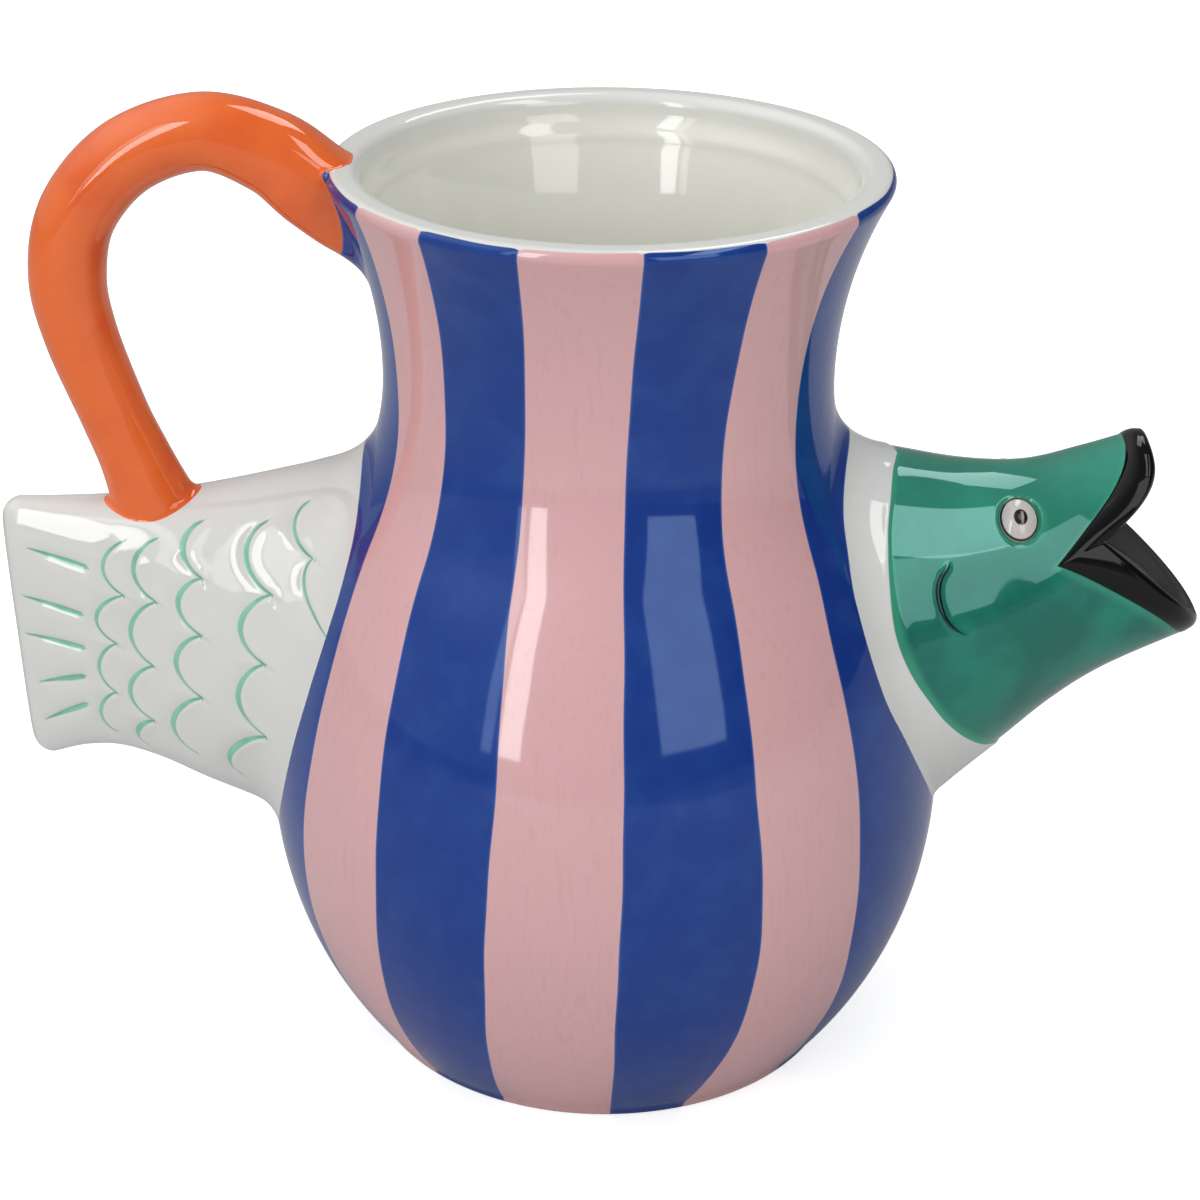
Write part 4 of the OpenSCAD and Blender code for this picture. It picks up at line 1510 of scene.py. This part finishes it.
@dataclass
class LoopHandle:
    """The pulled handle: a round section from the rim, over in a loop, down to the tail's back."""

    body: BodyForm
    tail: FishTail
    around: int = 128
    steps: int = 200
    rim_fillet: float = 8.0
    rim_fillet_top: float = 0.6
    tail_fillet: float = 2.2
    tail_fillet_side: float = 0.8
    fillet_run: float = 1.1
    rows: Array = field(init=False)

    def __post_init__(self) -> None:
        """Sets the path's knots [x, z, radius, half-width, squareness], from the rim's wall to the tail."""
        self.rows = np.array([
            [-44.0, 204.0, 9.5, 9.8, 3.4],
            [-57.0, 206.9, 9.3, 9.8, 3.4],
            [-66.9, 213.7, 9.7, 9.8, 3.2],
            [-77.0, 221.4, 9.5, 9.4, 2.4],
            [-92.3, 226.0, 8.9, 8.9, 2.0],
            [-109.5, 220.2, 8.9, 8.9, 2.0],
            [-121.4, 207.0, 9.0, 8.9, 2.0],
            [-125.0, 192.0, 9.0, 8.8, 2.0],
            [-123.0, 177.5, 8.6, 8.4, 2.0],
            [-116.5, 158.0, 8.1, 7.8, 2.0],
            [-112.3, 147.0, 8.5, 7.8, 2.0],
            [-108.6, 136.5, 9.8, 8.2, 2.0],
            [-105.4, 129.0, 10.6, 8.2, 2.0],
        ])

    def place(self, u: Array, a: Array) -> Array:
        """Points of the handle, whose section is a superellipse.

        Args:
            u: Place along the knots.
            a: Angle round the section, 0 on the inner side of the loop.

        Returns:
            middle + (cos a * radius * inner side + sin a * half-width * Y) over the superellipse's norm.
        """
        u, a = np.broadcast_arrays(np.asarray(u, float), a)
        s = spline(self.rows, u)
        ds = rate(lambda at: spline(self.rows, at), u, 0.005)
        inner = unit(upright(-ds[..., 1], ds[..., 0]))
        inwards, sideways = superellipse(a, s[..., 4])
        across = (s[..., 3] * sideways)[..., None] * ACROSS
        return upright(s[..., 0], s[..., 1]) + (s[..., 2] * inwards)[..., None] * inner + across

    def heading(self, u: Array, a: Array) -> Array:
        """Which way the surface runs along the path, in millimetres for a unit of u."""
        return rate(lambda at: self.place(at, a), u, 0.05)

    def leaves(self, u: Array, a: Array, width: Array) -> Array:
        """How much u a fillet of some width takes up on the handle."""
        return self.fillet_run * width / np.linalg.norm(self.heading(u, a), axis=-1)

    def build(self) -> None:
        """Carries the section along the path and scribes its ends to the rim and to the tail."""
        a = turns(self.around)
        last, back = self.tail.branch, len(self.rows) - 1.0
        rim_u = self.body.meet(lambda u: self.place(u, a), np.zeros_like(a), np.full_like(a, 3.0))
        tail_u = last.meet(lambda u: self.place(u, a), np.full_like(a, back), np.full_like(a, back - 3.0))
        under = (1 + np.cos(a)) / 2
        rim_w = self.rim_fillet_top + (self.rim_fillet - self.rim_fillet_top) * under**2
        tail_w = self.tail_fillet_side + (self.tail_fillet - self.tail_fillet_side) * np.cos(a) ** 2
        start, end = rim_u + self.leaves(rim_u, a, rim_w), tail_u - self.leaves(tail_u, a, tail_w)
        ahead, astern = unit(self.heading(start, a)), -unit(self.heading(end, a))
        rim = self.body.fillet(self.place(rim_u, a), self.place(start, a), ahead, rim_w, 16)
        foot = last.fillet(self.place(tail_u, a), self.place(end, a), astern, tail_w, 8)[::-1]
        tube = self.place(start + np.linspace(0.0, 1.0, self.steps)[:, None] * (end - start), a[None])
        obj = skin("loop_handle", np.concatenate([rim, tube, foot]), Closing.POLES)
        bare_share, margin = 0.92, 0.25
        run = run_along(rim[1:])
        orange = run - run[-1] * bare_share * ramp(under, 0.1, 0.4) + margin
        orange = np.concatenate([orange[:1], orange])
        rest = ((0, len(tube) + len(foot)), (0, 0))
        write_attribute(obj, "orange_mm", np.pad(orange, rest, constant_values=FAR_MM))
        hand_in(obj, HandleGlaze().make(), "handle")


# Studio


def stand(name: str, data: bpy.types.ID, place: Vector, aim: Vector, roll: float) -> bpy.types.Object:
    """Puts up a lamp or a camera.

    Args:
        name: Its name.
        data: The lamp or the lens.
        place: Where it stands.
        aim: The point that it faces.
        roll: How far it is rolled about that line, in degrees.

    Returns:
        The new object.
    """
    obj = put(name, data)
    obj.location = place
    obj.rotation_mode = "QUATERNION"
    facing = (aim - obj.location).to_track_quat("-Z", "Y")
    obj.rotation_quaternion = facing @ Quaternion((0.0, 0.0, 1.0), np.radians(roll))
    return obj


@dataclass(frozen=True)
class Softbox:
    """A rectangular white lamp, by place, size, radiance, the point that it faces and its roll."""

    name: str
    place: tuple[float, float, float]
    width: float
    tall: float
    radiance: float
    aim: tuple[float, float, float] = (0.0, 0.0, 0.11)
    roll: float = 0.0

    def build(self) -> None:
        """Adds the lamp, whose power is radiance * area * pi."""
        lamp = bpy.data.lights.new(self.name, "AREA")
        lamp.shape = "RECTANGLE"
        lamp.size, lamp.size_y = self.width, self.tall
        lamp.energy = self.radiance * self.width * self.tall * np.pi
        stand(self.name, lamp, Vector(self.place), Vector(self.aim), self.roll)


@dataclass
class Studio:
    """Pale floor, soft lamps, white surroundings and the camera."""

    aim: tuple[float, float, float] = (0.0, 0.0, 0.1101)
    distance: float = 0.7
    elevation: float = 25.44
    roll: float = 0.622
    lens_mm: float = 86.53
    shift_px: float = 6.23
    frame_px: float = 1200.0
    floor_half: float = 6.0
    floor_colour: str = "#d0d0d0"
    glow_span: tuple[float, float] = (0.15, 0.9)
    glow: tuple[float, float] = (0.72, 1.0)
    room_light: tuple[float, float] = (0.6, 0.06)
    wall_light: float = 1.5
    wall_span: tuple[float, float] = (0.3, 0.75)
    top_aim: tuple[float, float, float] = (0.143, -0.053, 0.257)
    top_roll: float = -37.8

    def floor(self) -> None:
        """A plain pale floor. Camera rays see it brighter, more so far from the jug, until it is white."""
        mesh = bpy.data.meshes.new("floor")
        h = self.floor_half
        mesh.from_pydata([(-h, -h, 0.0), (h, -h, 0.0), (h, h, 0.0), (-h, h, 0.0)], [], [(0, 1, 2, 3)])
        obj = put("floor", mesh)
        material = bpy.data.materials.new("white_paper")
        material.use_nodes = True
        tree = material.node_tree
        shader = tree.nodes["Principled BSDF"]
        shader.inputs["Base Color"].default_value = srgb(self.floor_colour)
        shader.inputs["Roughness"].default_value = 1.0
        shader.inputs["Specular IOR Level"].default_value = 0.0
        shader.inputs["Emission Color"].default_value = WHITE
        place = add_node(tree, "ShaderNodeTexCoord", {}).outputs["Object"]
        away = add_node(tree, "ShaderNodeVectorMath", {"operation": "LENGTH"}, in0=place).outputs["Value"]
        glow = map_range(tree, away, self.glow_span, self.glow)
        path = add_node(tree, "ShaderNodeLightPath", {}).outputs["Is Camera Ray"]
        tree.links.new(maths(tree, "MULTIPLY", glow, path), shader.inputs["Emission Strength"])
        mesh.materials.append(material)

    def surroundings(self) -> None:
        """White all round for the camera.

        Light sees a dim room, paler on the tail's side and most of all high up there.
        """
        world = bpy.data.worlds.new("white_room")
        bpy.context.scene.world = world
        world.use_nodes = True
        tree = world.node_tree
        light = tree.nodes["Background"]
        way = add_node(tree, "ShaderNodeTexCoord", {}).outputs["Generated"]
        split = add_node(tree, "ShaderNodeSeparateXYZ", {}, Vector=way)
        room = map_range(tree, split.outputs["X"], (-1.0, 1.0), self.room_light)
        beside = map_range(tree, split.outputs["X"], (0.0, -1.0), (0.0, self.wall_light))
        high = map_range(tree, split.outputs["Z"], self.wall_span, (0.0, 1.0))
        level = maths(tree, "ADD", room, maths(tree, "MULTIPLY", beside, high))
        tree.links.new(level, light.inputs["Strength"])
        light.inputs["Color"].default_value = WHITE
        white = add_node(tree, "ShaderNodeBackground", {"Color": WHITE, "Strength": 1.0})
        path = add_node(tree, "ShaderNodeLightPath", {}).outputs
        seen = maths(tree, "MAXIMUM", path["Is Camera Ray"], path["Is Transmission Ray"])
        pick = add_node(tree, "ShaderNodeMixShader", {}, in0=seen, in1=light.outputs[0], in2=white.outputs[0])
        tree.links.new(pick.outputs[0], tree.nodes["World Output"].inputs["Surface"])

    def lamps(self) -> None:
        """Softboxes on both sides of the camera, one with a core and one with a top part, and one behind."""
        boxes = (
            Softbox("softbox_tail_side", (-0.76, -0.93, 0.66), 0.09, 1.06, 1.8),
            Softbox("softbox_tail_side_core", (-0.622, -1.028, 0.66), 0.18, 1.06, 5.2),
            Softbox("softbox_head_side", (0.574, -1.007, 0.578), 0.50, 0.74, 2.2),
            Softbox("softbox_head_top", (0.579, -0.444, 1.068), 0.25, 0.78, 4.0, self.top_aim, self.top_roll),
            Softbox("softbox_behind", (0.27, 0.55, 1.16), 0.30, 0.70, 4.1),
        )
        for box in boxes:
            box.build()

    def camera(self) -> None:
        """The photograph's camera, with its small roll and shift."""
        lens = bpy.data.cameras.new("camera")
        lens.sensor_width = 36.0
        lens.lens = self.lens_mm
        lens.shift_x = -self.shift_px / self.frame_px
        lens.clip_start = 0.01
        tilt, aim = np.radians(self.elevation), Vector(self.aim)
        place = aim + self.distance * Vector((0.0, -np.cos(tilt), np.sin(tilt)))
        bpy.context.scene.camera = stand("camera", lens, place, aim, self.roll)

    def build(self) -> None:
        """Sets the whole scene up."""
        self.floor()
        self.surroundings()
        self.lamps()
        self.camera()
        bpy.context.scene.view_settings.view_transform = "Standard"


def main() -> None:
    """Builds the jug's pieces in order, then the studio."""
    logging.basicConfig(level=logging.INFO, format="%(name)s %(message)s")
    form = BodyForm()
    JugBody(form).build()
    head = FishHead(form)
    head.build()
    MouthLip(head).build()
    eye_glaze = EyeGlaze().make()
    FishEye(head, Flank.NEAR, "eye_near").build(eye_glaze)
    FishEye(head, Flank.FAR, "eye_far").build(eye_glaze)
    tail = FishTail(form)
    tail.build()
    LoopHandle(form, tail).build()
    Studio().build()


if __name__ == "__main__":
    main()
